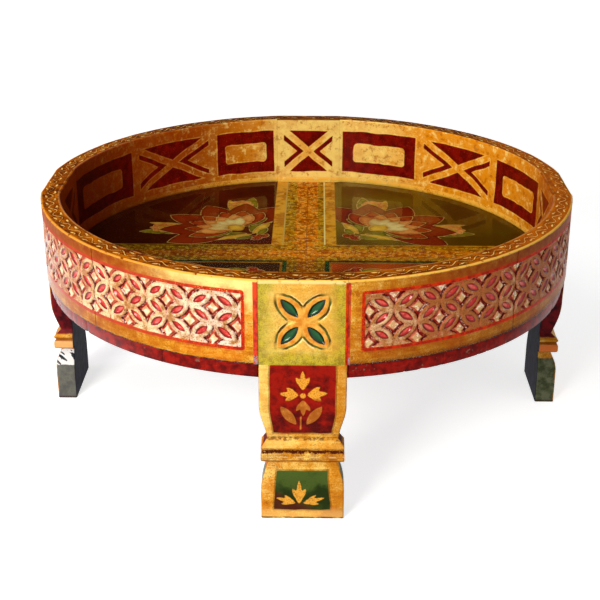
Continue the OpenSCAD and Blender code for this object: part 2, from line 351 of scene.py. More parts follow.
class Paint:
    """A material on its way: the place of each point, its distances, noise and mixtures. It
    keeps its colour so far, and lay puts the next colour over it."""

    def __init__(self, name):
        self.material = bpy.data.materials.new(name)
        self.material.use_nodes = True
        self.tree = self.material.node_tree
        self.tree.nodes.clear()
        self.add = Wire(self.tree, None).add
        metres = self.add("ShaderNodeTexCoord", output=3)
        self.place = self.add("ShaderNodeVectorMath", {"operation": "SCALE"}, {0: metres, "Scale": 1 / MM})
        split = self.add("ShaderNodeSeparateXYZ", inputs={0: self.place}).socket.node
        self.x, self.y, self.z = (Wire(self.tree, split.outputs[i]) for i in range(3))
        self.colour = None

    def distance(self, title):
        """A distance that the mesh keeps at its points."""
        return self.add("ShaderNodeAttribute", {"attribute_name": title}, output=2)

    def join(self, x, y, z=0.0):
        """A vector made of three links or numbers."""
        return self.add("ShaderNodeCombineXYZ", inputs={0: x, 1: y, 2: z})

    def noise(self, size, detail=2.0, rough=0.5, at=None, stretch=None):
        """Cloudy noise, about 0.3 to 0.7, whose lumps are that many millimetres across."""
        at = at or self.place
        if stretch:
            at = self.add("ShaderNodeVectorMath", {"operation": "MULTIPLY"}, {0: at, 1: stretch})
        return self.add("ShaderNodeTexNoise", inputs={"Vector": at, "Scale": 1 / size, "Detail": detail,
                                                      "Roughness": rough})

    def cells(self, size):
        """Distance to the nearest of scattered points that are about that far apart."""
        return self.add("ShaderNodeTexVoronoi", inputs={"Vector": self.place, "Scale": 1 / size})

    def mix(self, mask, under, over, blend="MIX"):
        """Colour under where the mask is 0, and over where it is 1."""
        under, over = (shade(*c) if isinstance(c, tuple) else c for c in (under, over))
        return self.add("ShaderNodeMix", {"data_type": "RGBA", "blend_type": blend},
                        {0: mask, 6: under, 7: over}, output=2)

    def lay(self, mask, over):
        """Lays a colour over the paint's colour so far, where the mask is 1."""
        self.colour = self.mix(mask, self.colour, over)

    def stack(self, colour, *layers):
        """A colour with others laid over it one by one. Each layer is a mask and a colour."""
        for mask, over in layers:
            colour = self.mix(mask, colour, over)
        return colour

    def finish(self, roughness, height, metallic=0.0, coat=0.0, coat_roughness=0.2, lift=0.0002,
               specular=0.03):
        """Ends the material: one surface shader whose normal comes from the bump height."""
        normal = self.add("ShaderNodeBump", inputs={"Strength": 1.0, "Distance": lift, "Height": height})
        surface = self.add("ShaderNodeBsdfPrincipled", inputs={
            "Base Color": self.colour, "Roughness": roughness, "Metallic": metallic, "Coat Weight": coat,
            "Coat Roughness": coat_roughness, "Specular IOR Level": specular, "Normal": normal})
        self.add("ShaderNodeOutputMaterial", inputs={0: surface})
        return self.material


BLACK = (20, 12, 8)
print("mid grey in linear light:", round(shade(128, 128, 128)[0], 3))

# %% [markdown]
# ## The gold paint
# Bands, posts and borders carry the same bronze gold: bright where it is thick, ochre where
# it has gone thin, with fine brush streaks and dark specks where the wood shows through. The
# streaks need a direction, so the recipe takes a place whose first axis runs with the brush.

# %% The recipe for gold
GOLD_LIGHT, GOLD, OCHRE = (248, 214, 114), (218, 146, 30), (184, 100, 12)
SPECK = (70, 32, 10)


def gold(paint, brush, light=0.0, warm=0.0):
    """Starts a paint with brushed gold and gives its bump height. light moves the colour towards the bright
    gold, which the paints use to lay painted light and shade, and warm lays orange clouds over it."""
    patches, grain = paint.noise(15, 4, 0.6), paint.noise(1.5, 3, 0.7)
    streaks = paint.noise(4, 4, 0.65, at=brush, stretch=(0.14, 1, 1))
    level = (patches * 0.7 + streaks * 0.5 + grain * 0.5) * (1 / 1.7) + light
    paint.colour = paint.mix(level.ramp(0.38, 0.51), OCHRE, GOLD)
    paint.lay(level.ramp(0.48, 0.64), GOLD_LIGHT)
    paint.lay(paint.noise(34, 2).ramp(0.45, 0.72) * warm, (206, 96, 20))
    specks = paint.noise(1.4, 3, 0.75).ramp(0.55, 0.64) * paint.noise(12, 3, 0.6).ramp(0.40, 0.60)
    paint.lay(specks * 0.75, SPECK)
    return streaks * 0.35 + grain * 0.5 - specks * 0.6


print("bright gold in linear light:", [round(c, 3) for c in shade(*GOLD_LIGHT)[:3]])

# %% [markdown]
# ## The rim's outside
# Four bands of gold frame a carved panel in every quarter. The panel is a lattice: each cell
# holds one pointed petal along a diagonal, with a boat-shaped pit cut in it, and four petals
# that meet leave a star with a raised diamond. A red line runs round the panel, and a red
# stripe beside each leg.

# %% The lattice of petals
COLUMNS, ROWS = 14, 3
BAND_TOP, BAND_LOW, BAND_SIDE = 15.0, 17.5, 16.5
TOP_GAP, LOW_GAP, SIDE_GAP = 1.5, 4.5, 4.0
PIT_LENGTH, PIT_WIDTH, PIT_DEPTH = 18.4, 7.3, 2.5
PETAL_LENGTH, PETAL_WIDTH = 31.0, 14.6
GROOVE_DEPTH, DIAMOND_RISE, PETAL_SWELL, PANEL_SINK = 2.5, 2.1, 0.4, 0.45
SLIP_U, SLIP_V, SLIP_TILT, SLIP_SIZE = 0.7, 0.6, 0.08, 0.09

ARC_DEGREE = math.radians(1) * RIM_R
PANEL_TOP, PANEL_LOW = RIM_TOP - BAND_TOP, RIM_LOW + BAND_LOW
LEG_ANGLE = math.degrees(math.asin(LEG_HALF / RIM_R))
PANEL_SIDE = LEG_ANGLE + BAND_SIDE / ARC_DEGREE
FIRST_COLUMN = PANEL_SIDE + SIDE_GAP / ARC_DEGREE
COLUMN = (90 - 2 * FIRST_COLUMN) / COLUMNS * ARC_DEGREE
ROW = (PANEL_TOP - PANEL_LOW - TOP_GAP - LOW_GAP) / ROWS
TILT = math.atan2(ROW, COLUMN)


def lattice(angle, z, quarter):
    """Distances to the nearest pit and to the nearest petal outline. The point's own cell and
    the four beside it are tried. A cell whose column, row and quarter add up to an even number
    leans down to the right, and every second one leans up. Each pit has its own slips."""
    across = (angle - FIRST_COLUMN) * ARC_DEGREE / COLUMN
    down = (PANEL_TOP - TOP_GAP - z) / ROW
    luck = np.random.default_rng(40 + quarter).uniform(-1, 1, (4, COLUMNS + 4, ROWS + 4))
    pit, outline = np.full_like(z, FAR), np.full_like(z, FAR)
    for side, below in ((0, 0), (1, 0), (-1, 0), (0, 1), (0, -1)):
        i, j = np.floor(across).astype(int) + side, np.floor(down).astype(int) + below
        shift_u, shift_v, turn, grow = luck[:, np.clip(i + 2, 0, COLUMNS + 3), np.clip(j + 2, 0, ROWS + 3)]
        lean = np.where((i + j + quarter) % 2 == 0, 1, -1)
        u0 = (across - i - 0.5) * COLUMN - SLIP_U * shift_u
        v0 = (down - j - 0.5) * ROW - SLIP_V * shift_v
        tilt = lean * (TILT + SLIP_TILT * turn)
        u, v = u0 * np.cos(tilt) + v0 * np.sin(tilt), v0 * np.cos(tilt) - u0 * np.sin(tilt)
        real = (i >= 0) & (i < COLUMNS) & (j >= 0) & (j < ROWS)
        size = 1 + SLIP_SIZE * grow
        pit = np.minimum(pit, np.where(real, lens(u / size, v / size, PIT_LENGTH, PIT_WIDTH), FAR))
        outline = np.minimum(outline, lens(u, v, PETAL_LENGTH, PETAL_WIDTH))
    rough = 0.3 * cloud(angle * ARC_DEGREE, z, 3.1, 50 + quarter)
    return pit + 0.4 * rough, outline + rough


def bowl(distance, half, depth):
    """Depth of a hollow whose floor is a parabola: depth * (1 - (1 - s) squared), s being how
    far the point is on its way from the edge to the middle."""
    return depth * (1 - (1 - np.clip(-distance / half, 0, 1)) ** 2)


def carved_depth(pit, outline, field):
    """How deep the knife went: a bowl in each pit, a groove just outside the outline, and a
    diamond in the middle of each star. It fades out at the panel's border, and the whole panel
    lies a little deeper than the bands."""
    boat = bowl(pit, PIT_WIDTH / 2, PIT_DEPTH)
    groove = GROOVE_DEPTH * ease(outline, -0.15, 1.0) - DIAMOND_RISE * ease(outline, 1.3, 3.6)
    swell = PETAL_SWELL * ease(outline, -1.6, 0.0)
    return (boat + groove + swell) * ease(-field, 0.0, 0.8) + PANEL_SINK * ease(-field, -0.3, 1.2)


print(f"cell {COLUMN:.1f} x {ROW:.1f} mm, petals lean {math.degrees(TILT):.1f} degrees")

# %% [markdown]
# The top of the rim carries a thin golden vine: a wave with a small leaf in each of its
# hollows. The inside carries sixteen painted panels, a cross and a framed block by turns.
# Both are distances again, worked out from the angle round the table.

# %% The vine on top and the panels inside
WAVES = 72
WAVE = 360 / WAVES * math.radians(1) * (RIM_R - WALL / 2)
WALL_TOP, WALL_LOW = RIM_TOP - 15.5, RIM_LOW + 15.5
CROSS_EDGE, CROSS_HALF = 8.3, 12.6
POST_HALF, BAR_HALF, CHEVRON = 6.6, 4.6, 5.8
FRAMED_WIDE, FRAMED_HIGH = 0.72, 0.49
CROSS_AT = np.array([45.0, 45.2, 40.0, 45.0])
VINE_SWING = 3.4


def vine(angle, across):
    """Distance to the vine's strokes. across counts millimetres from the rim's outer edge. The
    stem is across = middle + swing * sin of the wave's angle; dividing by the slope's length
    makes the offset a distance."""
    phase = angle / 360 * WAVES
    wobble = 0.5 * cloud(phase, across * 0, 1.3, 7)
    middle = WALL / 2 + wobble
    slope = VINE_SWING * 2 * math.pi / WAVE * np.cos(2 * math.pi * phase)
    off_stem = np.abs(across - middle - VINE_SWING * np.sin(2 * math.pi * phase))
    found = off_stem / np.hypot(1, slope) - 0.6
    for at, side, turn in ((0.25, -1, 0.9), (0.75, 1, -0.9)):
        u = (phase - at + 0.5 - np.floor(phase - at + 0.5) - 0.5) * WAVE
        v = across - WALL / 2 - side * 3.9
        blade = petal(u, v, (-4.8, side * 1.8), (3.2, -side * turn * 0.9), 2.6)
        curl = stroke(u, v, (2.8, -side * 0.9), (4.8, side * 1.6), 0.6)
        found = np.minimum(found, np.minimum(blade, curl))
    return found


def wall_panels(angle, z):
    """Distance to the maroon fields of the inner wall. angle runs round the whole table. The
    panels of a quarter are half a cross, a frame, a cross, a frame and half a cross. The place
    of the middle cross was never measured out, so each quarter has its own."""
    turn, quarter = angle % 90, (np.floor(angle / 90) % 4).astype(int)
    low, high = CROSS_AT[quarter] - CROSS_HALF, CROSS_AT[quarter] + CROSS_HALF
    starts = [turn < CROSS_EDGE, turn < low, turn < high, turn < 90 - CROSS_EDGE]
    centre = np.select(starts, [0 * low, (CROSS_EDGE + low) / 2, (low + high) / 2,
                                (high + 90 - CROSS_EDGE) / 2], 90)
    half = np.select(starts, [CROSS_EDGE + 0 * low, (low - CROSS_EDGE) / 2, (high - low) / 2,
                              (90 - CROSS_EDGE - high) / 2], CROSS_EDGE)
    crossed = (turn < CROSS_EDGE) | (turn > 90 - CROSS_EDGE) | ((turn > low) & (turn < high))
    degree = math.radians(1) * RIM_INNER
    u = (turn - centre) * degree + 1.0 * cloud(angle * degree, z, 21, 31)
    v = z - (WALL_TOP + WALL_LOW) / 2 + 0.9 * cloud(angle * degree, z, 17, 32)
    half_u, half_v = half * degree - POST_HALF, (WALL_TOP - WALL_LOW) / 2
    field = np.maximum(np.abs(u) - half_u, np.abs(v) - half_v)
    luck_u, luck_v, luck_z = np.random.default_rng(33).uniform(-1, 1, (3, 8))[:, 2 * quarter + (turn > 45)]
    inner_u, inner_v = (FRAMED_WIDE + 0.03 * luck_u) * half_u, (FRAMED_HIGH + 0.04 * luck_v) * half_v
    inner = block(u + luck_u, v + 1.0 + 1.5 * luck_z, inner_u, inner_v, 5)
    framed = np.maximum(field, 0.6 * cloud(angle * degree, z, 7, 34) - inner)
    steep = np.abs(u) * half_v > np.abs(v) * half_u
    bar = np.abs(np.abs(u) * half_v - np.abs(v) * half_u) / np.hypot(half_u, half_v) - BAR_HALF
    chevron = np.maximum(np.maximum(-bar, bar - CHEVRON), np.abs(v) - half_v + 2.5)
    return np.where(crossed, np.maximum(field, np.where(steep, chevron, -bar)), framed)


print(f"one wave of the vine is {WAVE:.1f} mm long")

# %% [markdown]
# A segment is the rim's section carried along an arc. The section is a closed outline, and a
# point of it is told by how far it lies from the outer face. Beside a leg the segment ends on
# a flat, which is why the inner and outer ends of the arc have angles of their own.

# %% The section of the rim
OUTSIDE, TOP, INSIDE, UNDER = 0, 1, 2, 3
TOP_EDGE, INNER_EDGE = 1.4, 1.1


def steps(start, end, spacing):
    """Evenly spaced values from start up to but without end."""
    count = max(2, round(abs(end - start) / spacing))
    return np.linspace(start, end, count, endpoint=False)


def rim_section():
    """The closed outline, as distance from the outer face, height and paint zone."""
    bend = np.radians([0, 30, 60])
    parts = [
        (0, steps(RIM_LOW + 0.6, PANEL_LOW - 3, 1.2), OUTSIDE),
        (0, steps(PANEL_LOW - 3, PANEL_TOP + 3, 0.78), OUTSIDE),
        (0, steps(PANEL_TOP + 3, RIM_TOP - TOP_EDGE, 1.2), OUTSIDE),
        (TOP_EDGE * (1 - np.cos(bend)), RIM_TOP - TOP_EDGE + TOP_EDGE * np.sin(bend), TOP),
        (steps(TOP_EDGE, WALL - INNER_EDGE, 0.95), RIM_TOP, TOP),
        (WALL - INNER_EDGE + INNER_EDGE * np.sin(bend),
         RIM_TOP - INNER_EDGE + INNER_EDGE * np.cos(bend), INSIDE),
        (WALL, steps(RIM_TOP - INNER_EDGE, RIM_LOW + 0.4, 1.25), INSIDE),
        (steps(WALL - 0.4, 0.6, 5.0), RIM_LOW, UNDER),
    ]
    rows = [np.broadcast_arrays(*np.atleast_1d(*part)) for part in parts]
    return [np.concatenate([row[k] for row in rows]) for k in range(3)]


section_across, section_z, section_zone = rim_section()
print(len(section_z), "points round the section")

# %% [markdown]
# The carving moves points of the outer face inwards. The hand that planed and sanded the wood
# left it slightly uneven, which a soft cloud of a few tenths of a millimetre gives, and a
# small chamfer marks each glued joint.

# %% Rim segments
SPLICE = 45.0
SEGMENT_COLUMNS = 236
STRIPE_ON_LEG = 2.4
UNEVEN, FINE_UNEVEN, CHIP_DEPTH, JOINT_DEPTH = 0.28, 0.12, 0.7, 0.5
TOP_FALL, TOP_SAG = 0.3, 0.15


def rim_segment(quarter, half):
    """Points and distances of one segment. Point = outer point * (1 - share) + inner point *
    share, where share is the distance from the outer face over the wall."""
    t = np.linspace(0, 1, SEGMENT_COLUMNS)[:, None]
    share = (section_across / WALL)[None, :]
    inner_start = math.degrees(math.atan2(LEG_HALF, LEG_BACK))
    angle_out, angle_in = LEG_ANGLE + (SPLICE - LEG_ANGLE) * t, inner_start + (SPLICE - inner_start) * t
    angle = angle_out + (angle_in - angle_out) * share
    z = np.broadcast_to(section_z, angle.shape)
    around = angle if half == 0 else 90 - angle
    table_angle = 90 * quarter + around

    field = block(around - 45, (z - (PANEL_TOP + PANEL_LOW) / 2) / ARC_DEGREE, 45 - PANEL_SIDE,
                  (PANEL_TOP - PANEL_LOW) / 2 / ARC_DEGREE) * ARC_DEGREE
    pit, outline = lattice(around, z, quarter)
    joint = np.minimum(angle - LEG_ANGLE, SPLICE - angle) * ARC_DEGREE
    arc = table_angle * ARC_DEGREE
    uneven = UNEVEN * (1 + cloud(arc, z, 26, 5)) + FINE_UNEVEN * (1 + cloud(arc, z, 7, 6))
    chipped = CHIP_DEPTH * ease(cloud(arc, z, 11, 8), 0.25, 0.8) * ease(z, RIM_LOW + 3.5, RIM_LOW)
    dent = carved_depth(pit, outline, field) + uneven + chipped + JOINT_DEPTH * ease(-joint, -0.9, 0.0)
    outside, top = section_zone[None, :] == OUTSIDE, section_zone[None, :] == TOP
    dent = np.where(outside, dent, 0) + np.where(top, TOP_FALL * (1 - share), 0)

    r_out, r_in = RIM_R - dent, np.minimum(RIM_INNER, LEG_BACK / np.cos(np.radians(angle_in)))
    out_a, in_a = np.radians(angle_out), np.radians(angle_in)
    x = r_out * np.sin(out_a) * (1 - share) + r_in * np.sin(in_a) * share
    y = -r_out * np.cos(out_a) * (1 - share) - r_in * np.cos(in_a) * share
    if half == 1:
        x, y = -y, -x
    sag = np.where(top, TOP_SAG * (1 + cloud(arc, section_across[None, :], 19, 9)), 0)
    points = turn_about_z(np.stack([x, y, z - sag], -1).reshape(-1, 3), 90 * quarter)
    across = np.broadcast_to(section_across, angle.shape)
    distances = {
        "pit": pit, "outline": outline, "field": field, "joint": joint, "arc": arc, "across": across,
        "along": (angle - LEG_ANGLE) * ARC_DEGREE + (STRIPE_ON_LEG if half == 0 else 0),
        "vine": vine(table_angle, across), "maroon": wall_panels(table_angle, z),
    }
    return points, distances


def segment_faces():
    """Quads of the swept section and its two ends, with the paint zone of each."""
    rows = len(section_z)
    quads = tube_faces(rows, SEGMENT_COLUMNS)
    ends = [np.arange(rows)[::-1].tolist(), (np.arange(rows) + (SEGMENT_COLUMNS - 1) * rows).tolist()]
    zones = np.concatenate([np.tile(section_zone, SEGMENT_COLUMNS - 1), [UNDER, UNDER]])
    flat = np.concatenate([np.zeros(len(quads), bool), [True, True]])
    return quads.tolist() + ends, zones, flat


print("faces of a segment:", len(segment_faces()[0]))

# %% [markdown]
# The paint follows the carving through the same distances. The petals are cream where they are rubbed, the
# pits are glossy red, and the grooves hold the darkest red. Near the foot of the lower band the paint is
# chipped down to the ground coat. Painted highlights lie on the gold and the cream left of the front leg, in
# the pits, on the stars and along the top edge, and painted shade darkens the rim towards the right and the
# far left and round the edge of each pit.

# %% Paint of the rim's outside
CREAM, TAN, ROSE = (244, 210, 156), (176, 116, 56), (210, 104, 74)
PIT_RED, PIT_HIGHLIGHT, DEEP_RED = (190, 26, 18), (228, 96, 76), (78, 6, 6)
BORDER_RED, SILVER = (214, 48, 10), (150, 128, 138)
STRIPE_WIDTH, BORDER_WIDTH = 4.6, 3.5


def stripe_red(paint, worn):
    """The red of the stripes beside the legs, darker where it is worn."""
    return paint.mix(worn.ramp(0.36, 0.66), (218, 58, 8), (160, 26, 6))


def rim_outside_paint():
    """Gold bands, a red border and stripes, and the panel's petals, pits and stars."""
    paint = Paint("rim_outside")
    x, y, z = paint.x, paint.y, paint.z
    along, arc, joint = paint.distance("along"), paint.distance("arc"), paint.distance("joint")
    pit, outline, field = paint.distance("pit"), paint.distance("outline"), paint.distance("field")
    # Painted highlight: the upper band's gold is paler in front, left of the front leg.
    front_highlight = x.between(-140, 0, 40) * y.ramp(0, -9) * z.ramp(RIM_TOP - 40, RIM_TOP - 12)
    height = gold(paint, paint.join(arc, z), light=front_highlight * 0.08 - 0.02, warm=0.4)
    paint.lay(front_highlight * 0.6, (255, 234, 150))
    fine, worn, broad = paint.noise(1.3, 3, 0.65), paint.noise(7, 3, 0.6), paint.noise(45, 2)

    # Painted shade: the gold turns brown towards the right and the far left, and low down towards the right.
    side_shade = x.ramp(20, 170).most(x.ramp(-80, -200)) * (z.ramp(RIM_LOW, RIM_TOP - 12) * 0.4 + 0.6)
    side_shade = side_shade.most(x.ramp(-10, 110) * z.ramp(RIM_TOP - 30, RIM_LOW + 15) * 0.65)
    paint.lay(side_shade * (worn * 0.8 + 0.5), (136, 56, 2))
    near_border = field.ramp(10, 2) * worn.ramp(0.40, 0.60)
    paint.lay(near_border * 0.6, (168, 70, 20))

    # The cream and the diamonds are paler towards the left.
    paler = x.ramp(150, -40)
    # Painted highlight: lit whitens the cream left of the front leg.
    lit = x.between(-120, 0, 60) * y.ramp(0, -9) * worn.ramp(0.30, 0.60)
    # In the cream, the brown towards the right and the far left is painted shade.
    cream = paint.stack(
        TAN, ((worn * 0.6 + broad * 0.5 + paler * 0.12).ramp(0.54, 0.76), CREAM),
        (outline.ramp(-2.4, -0.2) * worn.ramp(0.40, 0.56) * 0.8, ROSE),
        (x.ramp(20, 120).most(x.ramp(-190, -280)) * 0.35, (170, 70, 36)),
        (lit * 0.6, (255, 238, 216)), (fine.ramp(0.52, 0.64) * 0.75, (108, 56, 20)))
    # Painted glints on the middles of the diamonds.
    sparkle = outline.ramp(3.0, 3.6) * paint.noise(5, 3, 0.7, at=paint.join(arc, z)).ramp(0.50, 0.58)
    diamond = paint.stack(
        (204, 134, 88), (worn.ramp(0.36, 0.62), paint.mix(paler, (214, 168, 104), CREAM)),
        (sparkle * 0.7, (255, 240, 214)))
    star = paint.stack(
        (150, 24, 20), (worn.ramp(0.40, 0.62), ROSE),
        (outline.ramp(1.4, 0.6) * worn.ramp(0.30, 0.42), DEEP_RED), (outline.ramp(2.8, 3.8), diamond))
    # Painted glints along the walls of the grooves.
    glints = outline.between(0.1, 1.3, 0.3) * paint.noise(5, 3, 0.7).ramp(0.56, 0.62)
    rim_dark = outline.between(-0.5, 0.5, 0.25) * paint.noise(6, 3, 0.7).ramp(0.50, 0.42)
    # In each pit the darker red round its edge is painted shade, and the pale red in its middle is a painted
    # highlight.
    hollow = paint.stack(
        (104, 8, 8), ((pit + worn * 1.6).ramp(0.4, -1.0), PIT_RED),
        (pit.ramp(-1.4, -3.0) * worn.ramp(0.38, 0.58), PIT_HIGHLIGHT))
    petals = paint.stack(
        cream, (outline.ramp(-0.1, 0.35), star), (glints * 0.75, (255, 226, 204)),
        (rim_dark * 0.8, (84, 24, 12)), (pit.ramp(0.15, -0.35), hollow))
    paint.lay(field.ramp(0.35, -0.25), petals)

    border = field.wobble(worn, 2).between(0.0, BORDER_WIDTH, 0.35)
    border_red = paint.stack(BORDER_RED, (worn.ramp(0.36, 0.64), (158, 26, 14)),
                             (x.ramp(-50, -160) * 0.7, (178, 62, 38)))
    paint.lay(border * fine.ramp(0.34, 0.42), border_red)
    stripe = along.wobble(worn, 0.8).between(0.2, 0.2 + STRIPE_WIDTH, 0.3)
    stripe = stripe * z.ramp(RIM_TOP - 1.5, RIM_TOP - 3)
    paint.lay(stripe, stripe_red(paint, worn))

    grime = (z + worn * 7).ramp(RIM_LOW + 11, RIM_LOW + 4.5) * fine.ramp(0.40, 0.52) * x.ramp(-200, 160)
    paint.lay(grime * 0.8, (72, 30, 22))
    foot = z.ramp(RIM_LOW + 4.0, RIM_LOW + 0.3)
    chips = (foot * 0.8 + paint.noise(4, 4, 0.7) + broad * 0.5 - 1.0).ramp(0.28, 0.44)
    paint.lay(chips, paint.mix(fine.ramp(0.54, 0.66), (52, 28, 22), SILVER))
    low_down = z.ramp(RIM_LOW + 20, RIM_LOW + 4)
    paint.lay(stripe * (low_down * 0.4 + fine + worn * 0.6).ramp(1.12, 1.20), (160, 132, 136))
    # A bright line along the top edge: worn gold with a painted highlight on it.
    edge = z.ramp(RIM_TOP - 3.0, RIM_TOP - 1.0) * paint.noise(6, 2).ramp(0.32, 0.5)
    paint.lay(edge * 0.7 * (1 - x.ramp(-50, -170) * 0.6), (248, 208, 116))
    paint.lay(joint.ramp(0.8, 0.15) * (1 - stripe * 0.7) * 0.8, (64, 30, 16))

    in_pit = pit.ramp(0.1, -0.5) * field.ramp(0.2, -0.2)
    lacquer = in_pit.most(stripe * 0.6)
    bumps = height * (1 - in_pit * 0.8) - chips * 1.2 + border * 0.35 + stripe * 0.3
    sheen = x.ramp(-160, -280) * z.ramp(RIM_TOP - 14, RIM_TOP - 30) * 0.7
    sheen = sheen + x.ramp(200, 275) * z.ramp(RIM_TOP - 20, RIM_TOP - 60) * 0.2
    return paint.finish(0.42 + fine * 0.2 - lacquer * 0.30, bumps, metallic=0.1,
                        coat=lacquer * 0.5 + sheen + 0.03, coat_roughness=0.1)


rim_outside = rim_outside_paint()
print("nodes in the rim's paint:", len(rim_outside.node_tree.nodes))

# %% [markdown]
# The top of the rim is dark bronze under the pale vine, worn bright along its outer edge, where a painted
# highlight lies too, with painted shade at the back. The inner wall is glossier than the outside, because
# hands don't reach it: gold bands and bars between fields of deep maroon, painted lighter towards the lamps,
# with a painted glare on the back leg and painted shade on the left.

# %% Paint of the rim's top, inner wall and underside
MAROON, MAROON_DARK = (128, 14, 4), (92, 5, 2)
VINE_GOLD = (255, 212, 116)


def rim_top_paint():
    """Bronze with a vine that stands out a little, edges worn to bright gold with a painted highlight on the
    outer one, and painted shade at the back and over the front leg.
    """
    paint = Paint("rim_top")
    vine_line, across, arc = paint.distance("vine"), paint.distance("across"), paint.distance("arc")
    worn, fine = paint.noise(10, 3, 0.6), paint.noise(1.5, 3, 0.65)
    streaks = paint.noise(8, 4, 0.65, at=paint.join(arc, across), stretch=(0.15, 1, 1))
    paint.colour = paint.mix(worn.ramp(0.36, 0.62), (92, 34, 0), (162, 76, 0))
    paint.lay(streaks.ramp(0.46, 0.64) * 0.7, (214, 118, 4))
    paint.lay(fine.ramp(0.56, 0.66) * 0.6, (56, 22, 0))
    halo = vine_line.between(0.2, 1.2, 0.5)
    paint.lay(halo * 0.4, (62, 20, 0))
    # Painted shade: darker at the back and over the front leg.
    shaded = (paint.y.ramp(120, 280) * 0.4).most(paint.y.ramp(-250, -280) * paint.x.size().ramp(60, 40) * 0.4)
    paint.lay(shaded, (58, 22, 0))
    paint.lay(paint.x.ramp(150, 240) * paint.y.ramp(220, 120) * 0.35, (218, 110, 20))
    stem = vine_line.ramp(0.05, -0.35) * (fine + worn * 0.5).ramp(0.60, 0.74)
    paint.lay(stem, VINE_GOLD)
    inner = across.between(WALL - 2.4, WALL - 1.2, 0.3) * worn.ramp(0.36, 0.5)
    outer = across.ramp(2.6, 1.0) * paint.noise(7, 2).ramp(0.26, 0.44)
    paint.lay(inner * 0.6, (208, 146, 62))
    # The outer edge is worn bright, with a painted highlight that is paler on the left and fades out at the
    # back.
    outer_gold = paint.mix(paint.x.ramp(-60, -180), (248, 190, 78), (222, 146, 50))
    paint.lay(outer * paint.y.ramp(290, 100), outer_gold)
    return paint.finish(0.36 + fine * 0.2, stem * 1.4 + streaks * 0.6 + fine * 0.4,
                        specular=0.002)


def wall_inside_paint():
    """Maroon fields between rubbed gold bars, under a thin lacquer. The gold is painted brightest behind the
    middle, towards the lamps, with a painted glare on the back leg, and painted shade darkens the left."""
    paint = Paint("wall_inside")
    maroon, arc = paint.distance("maroon"), paint.distance("arc")
    # Painted light: the gold and the orange are painted brighter towards the lamps, along from_lamp.
    from_lamp = paint.x * 0.5 + paint.y * 0.85
    bright = from_lamp.ramp(60, 220)
    bars = paint.x.size().ramp(27, 20) * (paint.z - (WALL_TOP + WALL_LOW) / 2).size().ramp(28, 22)
    # A painted glare on the back leg and to its right, weaker on the bars.
    painted_glare = paint.y.ramp(185, 262) * paint.x.between(-60, 130, 50) * (1 - bars * 0.65)
    height = gold(paint, paint.join(arc, paint.z), light=bright * 0.06 + painted_glare * 0.12 - 0.02, warm=0.5)
    worn, fine = paint.noise(9, 3, 0.6), paint.noise(1.4, 3, 0.6)
    lamp_lit_orange = paint.mix(from_lamp.ramp(110, 245), (156, 56, 0), (236, 146, 6))
    spread = (worn * 0.5 + paint.noise(3, 3, 0.7) * 0.5).ramp(0.26, 0.50)
    paint.lay(spread * 0.9 * (1 - painted_glare * 0.8), lamp_lit_orange)
    # Lays the painted glare near the back leg, patchy.
    rubbed = worn.ramp(0.36, 0.56) * 0.4 + 0.3
    paint.lay(paint.x.size().ramp(70, 40) * painted_glare * rubbed, (255, 226, 124))
    # Mottled gold, whose pale patches are stronger where the painted light falls.
    patches = paint.noise(12, 4, 0.7, at=paint.join(arc, paint.z))
    paint.lay(patches.ramp(0.52, 0.66) * (bright * 0.6 + 0.15), (255, 222, 122))
    paint.lay(patches.ramp(0.46, 0.36) * 0.6, (176, 82, 4))
    # Painted shade darkens the left of the wall, gold and maroon.
    left_shade = paint.x.ramp(-90, -250) * paint.y.ramp(230, 60)
    paint.lay(left_shade * 0.75, (128, 34, 0))
    inside = maroon.wobble(fine, 0.9).ramp(0.3, -0.3)
    paint.lay(inside, paint.stack(MAROON_DARK, (worn.ramp(0.35, 0.65), MAROON),
                                  (fine.ramp(0.62, 0.7) * 0.4, OCHRE), (left_shade * 0.7, (40, 2, 2))))
    # Gold lines round the fields, brighter where the painted light falls.
    line = maroon.between(0.3, 1.5, 0.4) * worn.ramp(0.40, 0.54)
    paint.lay(line * (bright * 0.4 + 0.15) * (1 - left_shade), (255, 208, 96))
    # A painted highlight along the foot of the wall, where it meets the glass.
    foot = (paint.z + worn * 3).ramp(RIM_LOW + 9.2, RIM_LOW + 8.2) * (worn + fine).ramp(0.86, 1.0)
    paint.lay(foot * (bright * 0.8 + 0.1) * (1 - left_shade), (255, 192, 70))
    return paint.finish(0.26 + fine * 0.16, height * (1 - inside * 0.6) - inside * 0.3,
                        metallic=0.1, coat=0.05, coat_roughness=0.12)


def rim_under_paint():
    """Brushed ground coat for the faces that carry no pattern."""
    paint = Paint("rim_under")
    worn, fine = paint.noise(12, 4, 0.65), paint.noise(1.6, 3, 0.7)
    paint.colour = paint.mix(worn.ramp(0.36, 0.64), (84, 44, 16), (150, 88, 30))
    paint.lay(fine.ramp(0.60, 0.70) * 0.6, BLACK)
    return paint.finish(0.45 + fine * 0.2, worn * 0.8 + fine * 0.5)


rim_top, wall_inside, rim_under = rim_top_paint(), wall_inside_paint(), rim_under_paint()
print("nodes in the wall's paint:", len(wall_inside.node_tree.nodes))

# %% [markdown]
# The rim is glued up from eight short segments, because a board is straight and a ring of one
# piece would waste it. All segments share their faces, so those are worked out once, and the
# numbers of the quarter and the half turn each one into its place.

# %% Build the eight segments
faces, zones, flat = segment_faces()
QUARTERS = ["front_right", "back_right", "back_left", "front_left"]
for quarter, side in enumerate(QUARTERS):
    for half, letter in enumerate("ab"):
        points, distances = rim_segment(quarter, half)
        add_piece(f"carved_{side}_{letter}", points, faces, zones, flat, distances,
                  [rim_outside, rim_top, wall_inside, rim_under], f"rim_{side}_{letter}")
print("segments:", 2 * len(QUARTERS), "with", len(faces), "faces each")

